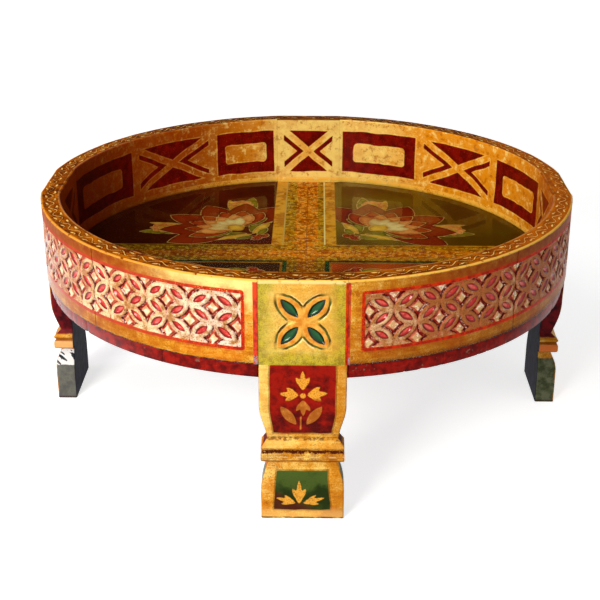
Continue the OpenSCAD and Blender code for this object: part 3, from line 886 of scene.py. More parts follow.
# %% [markdown]
# ## The legs
# A leg is one plank, sawn to an outline seen from the front and shaped once more seen from
# the side. Horizontal rings of points follow both outlines. Ring after ring the half width and
# the outer face change with the height, so foot, neck, moulding, waist and bulge are all told
# by two functions of z.

# %% The outline of a leg
FOOT_H, MOULD_H, BULGE_H = 65.0, 23.0, 40.0
FLARE_H, FLARE_SIDE_H, NECK_H = 34.0, 22.0, 2.0
WAIST_IN, NECK_IN, FOOT_IN, WAIST_FACE_IN, NECK_FACE_IN = 6.8, 8.6, 1.0, 8.0, 8.0
WAIST_Z = FOOT_H + MOULD_H
ROLL_Z = [0, 1.0, 2.6, 8.0, 10.4, 11.8, 13.2, 15.0, 16.2]
ROLL_IN = [1.9, 0.6, 0.0, 0.0, 0.7, 2.3, 1.6, 0.35, 0.2]


def moulding_in(z, top_in):
    """How far the moulding's section lies inside its widest part: a roll, a groove over it,
    and a slope that ends top_in inwards."""
    return np.interp(z - FOOT_H, ROLL_Z + [MOULD_H], ROLL_IN + [top_in])


def half_width(z):
    """Half width seen from the front: the foot flares with the square of the height, and the
    bulge over the waist is half a cosine wave."""
    foot = LEG_HALF - FOOT_IN - NECK_IN * np.clip((z - FOOT_H + FLARE_H) / FLARE_H, 0, 1) ** 2
    mould = LEG_HALF - FOOT_IN - moulding_in(z, WAIST_IN - FOOT_IN)
    bulge = LEG_HALF - WAIST_IN * (1 + np.cos(np.pi * np.clip((z - WAIST_Z) / BULGE_H, 0, 1))) / 2
    return np.where(z < FOOT_H, foot, np.where(z < WAIST_Z, mould, bulge))


def outer_face(z):
    """Distance of the outer face from the table's middle, seen from the side."""
    foot = LEG_FACE - NECK_FACE_IN * np.clip((z - FOOT_H + NECK_H + FLARE_SIDE_H) / FLARE_SIDE_H, 0, 1) ** 2
    mould = LEG_FACE - moulding_in(z, WAIST_FACE_IN)
    bulge = LEG_FACE - WAIST_FACE_IN * (1 - np.clip((z - WAIST_Z) / BULGE_H, 0, 1)) ** 2
    return np.where(z < FOOT_H, foot, np.where(z < WAIST_Z, mould, bulge))


def edge_round(z, low, high, radius):
    """How far a rounded edge draws in near the lowest and the highest point."""
    up = np.clip(radius - (high - z), 0, radius)
    down = np.clip(radius - (z - low), 0, radius)
    return 2 * radius - np.sqrt(radius**2 - up**2) - np.sqrt(radius**2 - down**2)


print("half widths at 0, 65, 75 and 88 mm:", half_width(np.array([0, 64.9, 75, 88])).round(1))

# %% [markdown]
# The block at the top carries a flower of four carved petals. Under it is a maroon panel with
# a painted sprig, and the foot has a green panel with three leaves. All are distances in the
# plane of the leg's face, x to the right and z up.

# %% Flower and sprigs of a leg
FLOWER_Z = (PANEL_TOP + PANEL_LOW) / 2
FLOWER_R, FLOWER_TILT = 19.0, 48.0
FLOWER_PIT, FLOWER_PETAL = (25.5, 9.8), (36, 18.2)
FLOWER_DEPTH, FLOWER_PIT_HALF, FLOWER_GROOVE = 3.0, 4.7, 1.5
LEAF_FOOT_Z, SPRIG_Z = 17.8, 139.2
MAROON_HALF, MAROON_LOW = 32, 95.5
GREEN_HALF, GREEN_LOW, GREEN_HIGH = 28.6, 10.5, 54.0


def leg_flower(x, z):
    """Distances to the flower's pits and to the outline of its petals."""
    pit, outline = np.full_like(z, FAR), np.full_like(z, FAR)
    for turn in (FLOWER_TILT, 180 - FLOWER_TILT, 180 + FLOWER_TILT, 360 - FLOWER_TILT):
        c, s = math.cos(math.radians(turn)), math.sin(math.radians(turn))
        u, v = x * c + (z - FLOWER_Z) * s - FLOWER_R, (z - FLOWER_Z) * c - x * s
        pit = np.minimum(pit, lens(u, v, *FLOWER_PIT))
        outline = np.minimum(outline, lens(u + 1.2, v, *FLOWER_PETAL))
    rough = 0.25 * cloud(x, z, 3.3, 47)
    return pit + 0.5 * rough, outline + rough


def leg_panels(x, z):
    """Distance to the maroon panel or, lower down, to the green one on the foot."""
    narrow = 3.0 * ease(-z, -122, -96)
    maroon = np.maximum(np.abs(x) - MAROON_HALF + narrow, np.maximum(z - RIM_LOW - 0.5, MAROON_LOW - z))
    side = np.abs(x + 0.4) - GREEN_HALF + 0.075 * (z - 10)
    green = np.maximum(side, np.maximum(z - GREEN_HIGH, GREEN_LOW - z))
    return np.minimum(maroon, green) + 0.5 * cloud(x, z, 9, 12)


def leg_motif(x, z):
    """Distance to the sprig on the maroon panel and to the three leaves on the foot."""
    parts = [
        leaf(x, z, (0.2, 145.6), (-0.1, 166.0), 13.2),
        leaf(x, z, (-4.2, 139.8), (-22.6, 141.6), 14.2),
        leaf(x, z, (4.6, 140.2), (24.0, 142.2), 15.2),
        leaf(x, z, (0.2, 134.2), (0.6, 117.0), 13.6),
        np.hypot(x - 0.2, z - SPRIG_Z) - 2.8,
        stroke(x, z, (-1.8, 115.8), (-2.0, 100.5), 0.8),
        petal(x, z, (-6.4, 106.6), (-21.6, 127.8), 9.4),
        petal(x, z, (3.8, 106.6), (18.8, 127.8), 9.4),
        leaf(x, z, (-3.2, LEAF_FOOT_Z), (-3.4, 44.2), 13.4),
        leaf(x, z, (-7.0, LEAF_FOOT_Z + 0.5), (-26.5, 24.2), 11),
        leaf(x, z, (0.8, LEAF_FOOT_Z + 0.5), (22.5, 24.6), 11),
    ]
    return np.minimum.reduce(parts)


print("the flower's middle is", FLOWER_Z, "mm up")

# %% [markdown]
# Sandpaper has left the corners of the legs slightly round. A bevel could do that afterwards,
# but it would also run over the carving, so each ring of points is made with round corners
# from the start.

# %% Rings of a leg
FRONT_POINTS, SIDE_POINTS = 94, 18
FOOT_EDGE = 0.7
CORNER_ROUND, ROUND_IN_RIM, LESS_ON_MOULDING = 1.6, 0.35, 1.0
NO_EDGE_BELOW, NO_EDGE_ABOVE = -9, 999


def ring_recipe():
    """For each point of a ring: where it lies on the straight part of its side, from -1 to 1 in
    both directions, and the direction of its corner's arc. The point is straight * (half size -
    corner radius) + arc * corner radius. Each side is the one before, turned a quarter."""
    sides = []
    for side, count in enumerate((FRONT_POINTS, SIDE_POINTS, FRONT_POINTS, SIDE_POINTS)):
        run = np.concatenate([[-1, -1], np.linspace(-1, 1, count - 3), [1]])
        bend = np.radians(np.concatenate([[-45, -22.5], np.zeros(count - 3), [22.5]]))
        straight, arc = np.stack([run, np.ones(count)]), np.stack([np.sin(bend), np.cos(bend)])
        for _ in range(side):
            straight, arc = np.stack([straight[1], -straight[0]]), np.stack([arc[1], -arc[0]])
        sides.append(np.concatenate([straight, arc]))
    return np.concatenate(sides, axis=1)


def leg_heights():
    """Heights of the rings: close together on the moulding and on the carved block, and twice
    at the ledge under the moulding."""
    ledge = FOOT_H - 0.001
    return np.concatenate([[0, 0.25, 0.7], steps(1.5, ledge, 1.05), [ledge], steps(FOOT_H, WAIST_Z, 0.6),
                           steps(WAIST_Z, RIM_LOW, 1.15), steps(RIM_LOW, RIM_TOP - TOP_EDGE, 0.85),
                           RIM_TOP - TOP_EDGE + TOP_EDGE * np.sin(np.radians([0, 30, 60, 90]))])


ring_x, ring_y, arc_x, arc_y = ring_recipe()
leg_z = leg_heights()
print(len(ring_x), "points in each of", len(leg_z), "rings")

# %% [markdown]
# The rings are stacked, the flower is cut into the front, and a grid that shares the points
# of the highest ring closes the top.

# %% Leg pieces
LEG_FRONT, LEG_SIDE, LEG_WALL, LEG_INNER, LEG_TOP = range(5)
LEG_UNEVEN, LEG_FINE_UNEVEN, MOULD_SAG = 0.22, 0.1, 0.4


def leg_points(seed):
    """Points of the rings in the frame of the front leg: x sideways, out from the table's
    middle, and z. With them come the distances to the flower's pits and petals."""
    z = leg_z[:, None]
    round_below = CORNER_ROUND - LESS_ON_MOULDING * (z > FOOT_H) * (z < WAIST_Z)
    radius = np.where(z > RIM_LOW, ROUND_IN_RIM, round_below)
    drawn_in = edge_round(z, 0, RIM_TOP, FOOT_EDGE)
    lower = drawn_in + edge_round(z, NO_EDGE_BELOW, RIM_TOP, TOP_EDGE)
    width = half_width(z) - edge_round(z, 0, NO_EDGE_ABOVE, FOOT_EDGE) - 0.3 * ease(z, RIM_TOP - 1, RIM_TOP)
    face, back = outer_face(z) - lower, LEG_BACK + drawn_in
    half_deep, middle = (face - back) / 2, (face + back) / 2
    x = ring_x * (width - radius) + arc_x * radius
    out = middle + ring_y * (half_deep - radius) + arc_y * radius
    z = np.broadcast_to(z, x.shape)
    front = (np.arange(len(ring_x)) <= FRONT_POINTS)[None, :] * (ring_y == 1)[None, :]
    pit, outline = leg_flower(x, z)
    carving = bowl(pit, FLOWER_PIT_HALF, FLOWER_DEPTH) + FLOWER_GROOVE * ease(outline, -0.1, 0.9)
    carving = carving - FLOWER_GROOVE * ease(outline, 1.2, 3.4)
    carving = carving * ease(z, RIM_LOW + 6, RIM_LOW + 9)
    uneven = LEG_UNEVEN * (1 + cloud(x, z, 22, seed)) + LEG_FINE_UNEVEN * (1 + cloud(x, z, 6, seed + 1))
    on_moulding = ease(z, FOOT_H, FOOT_H + 2) * ease(-z, -WAIST_Z, 3 - WAIST_Z)
    sagging = MOULD_SAG * (1 + cloud(x, z * 2, 9, seed + 2)) * on_moulding
    out = out - np.where(front, carving + uneven + sagging, 0)
    return x, out, z, pit, outline


def leg_piece(name, quarter):
    """One leg: rings joined by quads, the foot closed by one face and the top by a grid."""
    x, out, z, pit, outline = leg_points(60 + 5 * quarter)
    rings, around = x.shape
    grid = np.zeros((SIDE_POINTS + 1, FRONT_POINTS + 1), int)
    last = (rings - 1) * around + np.arange(around)
    grid[0, :] = last[:FRONT_POINTS + 1]
    grid[:, -1] = last[FRONT_POINTS:FRONT_POINTS + SIDE_POINTS + 1]
    grid[-1, ::-1] = last[FRONT_POINTS + SIDE_POINTS:2 * FRONT_POINTS + SIDE_POINTS + 1]
    grid[::-1, 0] = last[(2 * FRONT_POINTS + SIDE_POINTS + np.arange(SIDE_POINTS + 1)) % around]
    inside = (SIDE_POINTS - 1) * (FRONT_POINTS - 1)
    grid[1:-1, 1:-1] = rings * around + np.arange(inside).reshape(SIDE_POINTS - 1, FRONT_POINTS - 1)
    top_x, top_out = np.meshgrid(x[-1, 1:FRONT_POINTS], out[-1, FRONT_POINTS + 1:FRONT_POINTS + SIDE_POINTS])

    x, out = np.append(x, top_x), np.append(out, top_out)
    z, pit, outline = (np.append(values, np.full(inside, end))
                       for values, end in ((z, RIM_TOP), (pit, FAR), (outline, FAR)))
    across = RIM_R - np.hypot(x, out)
    angle = np.degrees(np.arctan2(x, out)) + 90 * quarter
    points = turn_about_z(np.stack([x, -out, z], -1), 90 * quarter)
    quads = tube_faces(around, rings)
    cap = np.stack([grid[:-1, :-1], grid[:-1, 1:], grid[1:, 1:], grid[1:, :-1]], -1).reshape(-1, 4)
    side = np.digitize(np.arange(around), np.cumsum([FRONT_POINTS, SIDE_POINTS, FRONT_POINTS]))
    zone = np.array([LEG_FRONT, LEG_SIDE, LEG_INNER, LEG_SIDE])[side][None, :].repeat(rings - 1, 0)
    high = (leg_z[:-1] >= RIM_LOW - 0.01)[:, None]
    zone = np.where(high & (zone == LEG_INNER), LEG_WALL, zone)
    zone = np.where((leg_z[:-1] > RIM_TOP - TOP_EDGE * 0.6)[:, None], LEG_TOP, zone)
    zones = np.concatenate([zone.ravel(), np.full(len(cap), LEG_TOP), [LEG_INNER]])
    flat = np.concatenate([np.zeros(len(quads) + len(cap), bool), [True]])
    distances = {
        "pit": pit, "outline": outline, "field": leg_panels(x, z), "motif": leg_motif(x, z),
        "sideways": x, "arc": angle * ARC_DEGREE, "across": LEG_FACE - out,
        "vine": vine(angle, across), "maroon": wall_panels(angle, z),
    }
    faces = quads.tolist() + cap.tolist() + [list(range(around))[::-1]]
    paints = [leg_front, leg_side, wall_inside, leg_inner, rim_top]
    add_piece(name, points, faces, zones, flat, distances, paints,
              f"leg_{name.split('_')[-1]}")


print("points of a leg's rings:", leg_points(60)[0].size)

# %% [markdown]
# The face of a leg changes its colours several times on the way down. One distance, the
# height, picks the zone, and the carved and painted patterns lie over it.

# %% Paint of a leg's front
FLOWER_GREEN, OLIVE, OLIVE_DARK = (6, 80, 30), (186, 170, 34), (112, 106, 16)
SPRIG, LEAF_BROWN = (232, 160, 50), (168, 88, 22)
FOOT_GREEN, FOOT_GREEN_LIGHT = (32, 46, 10), (68, 86, 32)


def lay_block(paint, x, worn, fine):
    """The carved block: bright in the middle, olive towards its edges, with a green flower."""
    z, pit, outline = paint.z, paint.distance("pit"), paint.distance("outline")
    broad = paint.noise(18, 3, 0.6)
    reach = (x.size() + broad * 26 + worn * 8 - 17).ramp(LEG_HALF - 24, LEG_HALF - 2)
    reach = reach.most(z.wobble(broad, 22).ramp(RIM_LOW + 22, RIM_LOW + 4))
    olive = paint.mix((fine * 0.5 + worn * 0.5).ramp(0.40, 0.58), OLIVE_DARK, OLIVE)
    paint.lay(0.35, (240, 200, 96))
    paint.lay(reach * 0.8, olive)
    rubbed = outline.ramp(0.3, -0.8)
    paint.lay(rubbed, paint.mix(worn.ramp(0.35, 0.65), (212, 128, 34), (240, 176, 74)))
    away = paint.join(x, z - FLOWER_Z).length()
    cut = outline.wobble(worn, 3).between(0.1, 2.4, 0.3) * away.ramp(13, 17) * away.ramp(37, 32)
    paint.lay(cut * 0.9, paint.mix(worn.ramp(0.44, 0.54), (24, 16, 6), (54, 82, 34)))
    # A painted highlight along the outer side of each groove.
    edge_mark = outline.wobble(worn, 3).between(2.6, 3.6, 0.3) * away.between(16, 33, 2)
    edge_mark = edge_mark * broad.ramp(0.44, 0.54)
    paint.lay(edge_mark * 0.6, (255, 236, 168))
    # Near black round the edge of each pit is painted shade, and the middle is green.
    paint.lay(pit.ramp(0.15, -0.35), paint.mix(pit.ramp(-0.6, -3.0), (2, 18, 8), FLOWER_GREEN))
    # A pale line just under the top: worn paint with a painted highlight on it.
    line = z.ramp(RIM_TOP - 4.5, RIM_TOP - 3.0) * worn.ramp(0.3, 0.45)
    paint.lay(line * 0.85, (250, 216, 140))
    stripe = x.wobble(worn, 0.8).ramp(LEG_HALF - STRIPE_ON_LEG - 0.3, LEG_HALF - STRIPE_ON_LEG + 0.3)
    paint.lay(stripe * z.ramp(RIM_TOP - 1.5, RIM_TOP - 3), stripe_red(paint, worn))


def leg_front_paint():
    """Block, maroon panel with a sprig, moulding, neck and foot, from the top down."""
    paint = Paint("leg_front")
    x, z, motif, field = paint.distance("sideways"), paint.z, paint.distance("motif"), paint.distance("field")
    worn, fine, broad = paint.noise(8, 3, 0.6), paint.noise(1.3, 3, 0.65), paint.noise(20, 3, 0.6)
    # Painted light: the gold is lighter towards the left and darker on the foot, with a painted highlight on
    # the left from the moulding up and painted shade on the right.
    height = gold(paint, paint.join(x, z), light=x.ramp(30, -44) * 0.05 - z.ramp(58, 46) * 0.05 + 0.01,
                          warm=0.3)
    paint.lay(x.ramp(-20, -40) * z.ramp(60, 90) * 0.35, (255, 226, 128))
    paint.lay(x.ramp(14, 40) * 0.5, (186, 112, 24))
    in_block = z.ramp(RIM_LOW - 0.2, RIM_LOW + 0.6)

    depth = worn * 0.6 + broad * 0.4 + z.ramp(95, 168) * 0.10 - 0.05
    maroon = paint.mix(depth.ramp(0.36, 0.62), (80, 6, 4), (152, 20, 6))
    paler = (broad * 0.7 + z.ramp(22, 46) * 0.2 + 0.05).ramp(0.38, 0.60)
    red_patch = (broad * 30 - z - x * 0.6).ramp(-6, 6) * 0.8
    green = paint.stack(FOOT_GREEN, (paler, FOOT_GREEN_LIGHT), (red_patch, (80, 22, 14)))
    leaf_colour = paint.stack(
        LEAF_BROWN, ((worn * 0.4 + fine * 0.6).ramp(0.44, 0.60), (216, 140, 56)),
        ((z + worn * 8).ramp(138.5, 141), SPRIG), (z.ramp(FOOT_H + 5, FOOT_H + 4), (230, 164, 56)),
        (fine.ramp(0.50, 0.62) * 0.65, (120, 58, 14)))
    panel = paint.stack(
        green, (z.ramp(FOOT_H + 5, FOOT_H + 6), maroon), (fine.ramp(0.60, 0.68) * 0.45, BLACK),
        (motif.wobble(fine, 0.8).ramp(0.35, -0.35), leaf_colour))
    panel_mask = field.ramp(0.35, -0.35)
    paint.lay(field.between(0.0, 1.4, 0.4) * 0.5, SPECK)
    paint.lay(panel_mask, panel)

    moulding = z.between(FOOT_H - 0.5, WAIST_Z - 0.5, 0.5)
    upper = moulding * z.ramp(FOOT_H + 11, FOOT_H + 16) * worn.ramp(0.34, 0.58)
    paint.lay(upper * 0.3, (226, 170, 76))
    tired = moulding * z.ramp(FOOT_H + 17, FOOT_H + 14) * (worn * 0.5 + fine * 0.5).ramp(0.40, 0.58)
    paint.lay(tired * 0.75, (156, 86, 18))
    ragged = paint.noise(3, 4, 0.75)
    groove = z.wobble(ragged, 7).between(FOOT_H + 9.8, FOOT_H + 12.8, 0.4) * ragged.ramp(0.36, 0.44)
    paint.lay(groove, (72, 22, 2))
    ledge = z.wobble(worn, 5).between(WAIST_Z - 1.5, WAIST_Z + 2.4, 0.6) * ragged.ramp(0.44, 0.52)
    paint.lay(ledge * 0.8, (110, 52, 8))
    # Painted shadow under the moulding's roll.
    shadow_under_roll = z.ramp(FOOT_H - 4.5, FOOT_H - 0.5) * z.ramp(FOOT_H + 2.6, FOOT_H + 1.4)
    paint.lay(shadow_under_roll * 0.7, (126, 56, 8))
    # A painted glint along the roll.
    glint = (z + worn * 1.5).between(FOOT_H + 5.8, FOOT_H + 7.4, 0.6) * worn.ramp(0.42, 0.54)
    paint.lay(glint * 0.4, (255, 226, 150))
    below = paint.colour
    lay_block(paint, x, worn, fine)
    paint.colour = paint.mix(in_block, below, paint.colour)
    corner = x.size().ramp(LEG_HALF - 1.6, LEG_HALF - 0.4) * worn.ramp(0.36, 0.5) * in_block
    paint.lay(corner * 0.25, (74, 36, 14))
    paint.lay(z.ramp(16, 5) * (1 - panel_mask) * 0.45, (255, 206, 120))
    toe = z.ramp(3.2, 0.8) * worn.ramp(0.34, 0.54)
    paint.lay(toe, (62, 40, 28))

    carved = paint.distance("pit").ramp(0.1, -0.5)
    roughness = 0.42 + fine * 0.16 - carved * 0.26 - panel_mask * 0.06
    leaf_lift = motif.ramp(0.3, -0.4) * panel_mask
    return paint.finish(roughness, height * (1 - carved * 0.7) - panel_mask * 0.5 + leaf_lift * 0.9,
                        metallic=0.1, coat=carved * 0.5 + 0.04, coat_roughness=0.12)


leg_front = leg_front_paint()
print("nodes in the front's paint:", len(leg_front.node_tree.nodes))

# %% [markdown]
# The sawn edges and the inner side of a leg carry no pattern. The edges follow the colours of
# the front, and the inner side is dark ground coat. With these paints the legs can be built.

# %% Paints of a leg's other sides, and the four legs
def leg_side_paint():
    """Maroon on the sawn edges of the upper part, gold on moulding and neck, and a grey-green
    foot. The neck of the left leg has lost its paint down to the white ground."""
    paint = Paint("leg_side")
    z, across = paint.z, paint.distance("across")
    worn, fine, broad = paint.noise(9, 3, 0.6), paint.noise(1.4, 3, 0.65), paint.noise(24, 3, 0.6)
    height = gold(paint, paint.join(across, z), light=-0.01, warm=0.5)
    maroon = paint.stack((52, 8, 16), ((worn * 0.6 + broad * 0.4).ramp(0.36, 0.62), (122, 20, 26)),
                         (fine.ramp(0.60, 0.68) * 0.5, BLACK))
    # On the left leg the foot's green turns grey-lavender, a painted sheen.
    green = paint.stack(
        (64, 70, 44), (worn.ramp(0.34, 0.62), (104, 108, 82)),
        ((z + broad * 40).ramp(34, 8) * 0.8, (90, 84, 76)), (fine.ramp(0.56, 0.66) * 0.4, (44, 48, 30)),
        (paint.x.ramp(-200, -260) * 0.4, (122, 116, 124)))
    upper = (z + worn * 3).ramp(WAIST_Z - 3.5, WAIST_Z - 1.5)
    lower = (z + worn * 6).ramp(FOOT_H - 4, FOOT_H - 8)
    paint.lay((z + worn * 2).between(FOOT_H + 11, FOOT_H + 14.5, 0.8) * 0.8, (132, 66, 12))
    roll = z.between(FOOT_H + 1, FOOT_H + 10, 1.2)
    paint.lay(roll * paint.x.ramp(200, -200) * 0.75, (246, 186, 120))
    paint.lay(roll * paint.x.ramp(220, 260) * 0.9, (240, 124, 62))
    # A dark band under the roll: painted shade.
    paint.lay(z.between(FOOT_H - 1.5, FOOT_H + 1.0, 0.8) * 0.8, (96, 46, 10))
    paint.lay(upper, maroon)
    paint.lay(lower, green)
    bare = (z + worn * 5).between(FOOT_H - 19, FOOT_H - 0.5, 0.6) * paint.x.ramp(-200, -210)
    torn = paint.noise(8, 2, 0.5, at=paint.join(paint.x + z, paint.y, z * 0.6))
    paint.lay(bare, paint.mix(torn.ramp(0.535, 0.56), (236, 234, 232), (44, 46, 50)))
    rubbed = across.ramp(2.4, 0.9) * paint.noise(6, 2).ramp(0.38, 0.55) * 0.8
    paint.lay(rubbed, (216, 146, 58))
    paint.lay(z.ramp(4.0, 1.0) * 0.8, (56, 36, 26))
    bright_foot = paint.y.ramp(-240, -250) * paint.x.ramp(-16, -30) * z.ramp(60, 44)
    return paint.finish(0.44 + fine * 0.18, height * 0.8 + worn * 0.5 - bare * 0.8,
                        coat=bright_foot * 0.5 + 0.05)


def leg_inner_paint():
    """The side that faces the middle under the table: dark blue ground coat, gone thin."""
    paint = Paint("leg_inner")
    worn, fine = paint.noise(11, 4, 0.65), paint.noise(1.6, 3, 0.7)
    grain = paint.noise(5, 3, 0.6, stretch=(1, 1, 0.08))
    paint.colour = paint.mix(worn.ramp(0.34, 0.64), (18, 18, 28), (44, 42, 58))
    paint.lay(grain.ramp(0.56, 0.70) * 0.35, (70, 60, 62))
    paint.lay(fine.ramp(0.62, 0.70) * 0.5, BLACK)
    return paint.finish(0.5 + fine * 0.15, grain * 0.8 + fine * 0.3)


leg_side, leg_inner = leg_side_paint(), leg_inner_paint()
for quarter, side in enumerate(["front", "right", "back", "left"]):
    leg_piece(f"carved_leg_{side}", quarter)
print("legs carved and painted")

# %% [markdown]
# ## The tray's floor
# Four planks make a disc. A regular grid covers each plank, and the cells that poke out of the
# disc or into a leg are dropped. The points left on the rim of the disc are then moved
# straight outwards onto it, so the edge is a true circle although the grid is square.

# %% Planks
GRID, BOARD_LIFT, BOARD_ROUND = 2.0, 0.12, 0.8


def plank_grid(x_low, x_high):
    """Grid lines of a plank. They hit the leg notches exactly, so no notch edge is ragged."""
    def lines(low, high):
        """Evenly spaced lines from low to high, with a line on each side of a notch."""
        stops = [low] + [s for s in (-LEG_BACK, -LEG_HALF, LEG_HALF, LEG_BACK) if low < s < high] + [high]
        runs = [steps(a, b, GRID) for a, b in zip(stops[:-1], stops[1:])]
        return np.concatenate(runs + [[high]])
    reach = BOARD_R - 0.05
    return np.meshgrid(lines(max(x_low, -reach), min(x_high, reach)), lines(-reach, reach), indexing="ij")


print("grid of the outer plank:", plank_grid(-BOARD_R, -SEAM_X)[0].shape)

# %% [markdown]
# The kept cells of a plank form a flat patch. Its border is found by looking across each side
# of a cell. Every border point then learns which way is out, so that the edge can be rounded
# and chipped where hands and floors have knocked it.

# %% The cells of a plank and their border
BOARD_TOP, BOARD_EDGE, BOARD_UNDER = range(3)


def plank_cells(x, y):
    """Which grid cells belong to the board, and which points touch a cell that the disc's edge
    cuts off. A cell counts when all its corners are inside the disc and it is in no notch."""
    inside = np.hypot(x, y) < BOARD_R + 0.01
    whole = inside[:-1, :-1] & inside[1:, :-1] & inside[:-1, 1:] & inside[1:, 1:]
    mid_x, mid_y = np.abs(x[:-1, :-1] + x[1:, 1:]) / 2, np.abs(y[:-1, :-1] + y[1:, 1:]) / 2
    notch = ((mid_x < LEG_HALF) & (mid_y > LEG_BACK)) | ((mid_y < LEG_HALF) & (mid_x > LEG_BACK))
    cut = np.pad(~whole & ~notch, 1)
    touched = cut[:-1, :-1] | cut[1:, :-1] | cut[:-1, 1:] | cut[1:, 1:]
    return whole & ~notch, touched


def border_edges(kept, number):
    """Directed edges round the kept cells, with the board on their left: an edge of a kept cell
    counts when the cell across it isn't kept."""
    beside = np.pad(kept, 1)
    a, b, c, d = number[:-1, :-1], number[1:, :-1], number[1:, 1:], number[:-1, 1:]
    found = []
    for start, end, other in ((a, b, beside[1:-1, :-2]), (b, c, beside[2:, 1:-1]),
                              (c, d, beside[1:-1, 2:]), (d, a, beside[:-2, 1:-1])):
        open_edge = kept & ~other
        found.append(np.stack([start[open_edge], end[open_edge]], -1))
    return np.concatenate(found)


def outward(place, edges):
    """Unit vectors out of the board at its border points: the mean of the edges' normals."""
    along = place[edges[:, 1]] - place[edges[:, 0]]
    normal = np.stack([along[:, 1], -along[:, 0]], -1) / np.linalg.norm(along, axis=1)[:, None]
    total = np.zeros_like(place)
    np.add.at(total, edges[:, 0], normal)
    np.add.at(total, edges[:, 1], normal)
    return total / np.maximum(np.linalg.norm(total, axis=1), 1e-6)[:, None]


two_cells = np.array([[True, True]])
print("edges round two cells:", len(border_edges(two_cells, np.arange(6).reshape(2, 3))))

# %% [markdown]
# The picture under the glass is a pattern of lotus flowers and leaves, one spray in each
# quarter between the painted cross. Inks are laid on one after the other. Each shape takes the
# place of whatever lay below it: its own ink gains it, and every other ink loses it.

# %% The flower pattern
INKS = {
    "deep": ((84, 14, 2), (138, 40, 8)), "red": ((112, 22, 4), (176, 64, 16)),
    "green": ((70, 62, 2), (150, 132, 26)), "yellow": ((180, 112, 14), (232, 180, 62)),
    "cream": ((196, 150, 80), (238, 208, 140)), "peach": ((186, 92, 26), (232, 152, 80)),
}
LOTUS_U = 122.0


def fan(ink, foot, turns, length, width, from_foot=6.0):
    """Petals that open from one point, as (ink, foot, tip, width). Each lies in the direction
    of its turn in degrees, from from_foot to length away from the point."""
    def at(turn, reach):
        """The foot, plus reach times the cosine and the sine of the turn."""
        return foot[0] + reach * math.cos(math.radians(turn)), foot[1] + reach * math.sin(math.radians(turn))

    return [(ink, at(turn, from_foot), at(turn, length), width) for turn in turns]


def spray_shapes():
    """All shapes of a quarter, from the lowest to the highest. u runs outwards along the
    quarter's middle and v across it."""
    shapes = []
    for side in (-1, 1):
        shapes += [
            ("green", (98, 3 * side), (136, 66 * side), 25),
            ("yellow", (92, 1 * side), (110, 42 * side), 12),
            ("green", (150, 42 * side), (196, 96 * side), 22),
            ("yellow", (158, 34 * side), (212, 66 * side), 14),
            ("green", (84, 2 * side), (96, 27 * side), 10),
        ]
        shapes += fan("peach", (186, 66 * side), range(0, 360, 45), 17, 10, 3)
        shapes += [("yellow", (179, 66 * side), (193, 66 * side), 13)]
    lotus = (LOTUS_U, 0)
    shapes += fan("deep", lotus, (-78, 78, -50, 50, -17, 17), 98, 44)
    shapes += fan("green", lotus, (-88, 88), 50, 16)
    shapes += fan("red", lotus, (-72, 72, -48, 48, -24, 24, 0), 66, 24)
    shapes += fan("peach", lotus, (-60, 60, -36, 36, -12, 12), 52, 19)
    shapes += fan("cream", lotus, (-44, 44, -22, 22, 0), 38, 15)
    shapes += [("yellow", (LOTUS_U - 10, 0), (LOTUS_U + 16, 0), 20)]
    shapes += fan("red", (72, 0), (-60, 60, -20, 20), 16, 8, 2)
    return shapes


def flower_inks(x, y):
    """Distance to each ink's area. In every quarter the pattern is the same, mirrored."""
    u, v = (np.abs(x) + np.abs(y)) / math.sqrt(2), (np.abs(y) - np.abs(x)) / math.sqrt(2)
    v = v + 3 * cloud(x, y, 60, 90)
    u = u + 3 * cloud(x, y, 60, 91)
    layers = {ink: np.full_like(x, FAR) for ink in INKS}
    for ink, foot, tip, width in spray_shapes():
        shape = petal(u, v, foot, tip, width)
        for name, under in layers.items():
            layers[name] = np.minimum(under, shape) if name == ink else np.maximum(under, -shape)
    return {ink: np.clip(values, -FAR, FAR) for ink, values in layers.items()}


print(len(spray_shapes()), "shapes in a spray")

# %% [markdown]
# A plank is closed by a wall that joins the border of its top to the border of its underside.
# The wall has several levels, so its corners are round and can be chipped.

# %% The mesh of a plank
BOARD_HIGH = RIM_LOW - BOARD_LIFT
LEVELS = [BOARD_HIGH, BOARD_HIGH - 0.3, BOARD_HIGH - 1.0, (BOARD_HIGH + BOARD_LOW) / 2,
          BOARD_LOW + 1.0, BOARD_LOW + 0.3, BOARD_LOW]
INSETS = [1.0, 0.3, 0.0, 0.0, 0.0, 0.3, 1.0]
NEAR_CORNER = [1, 1, 0.6, 0, 0.5, 0.9, 1]
SEAM_ROUND, KNOCK_DEPTH = 0.25, 1.3


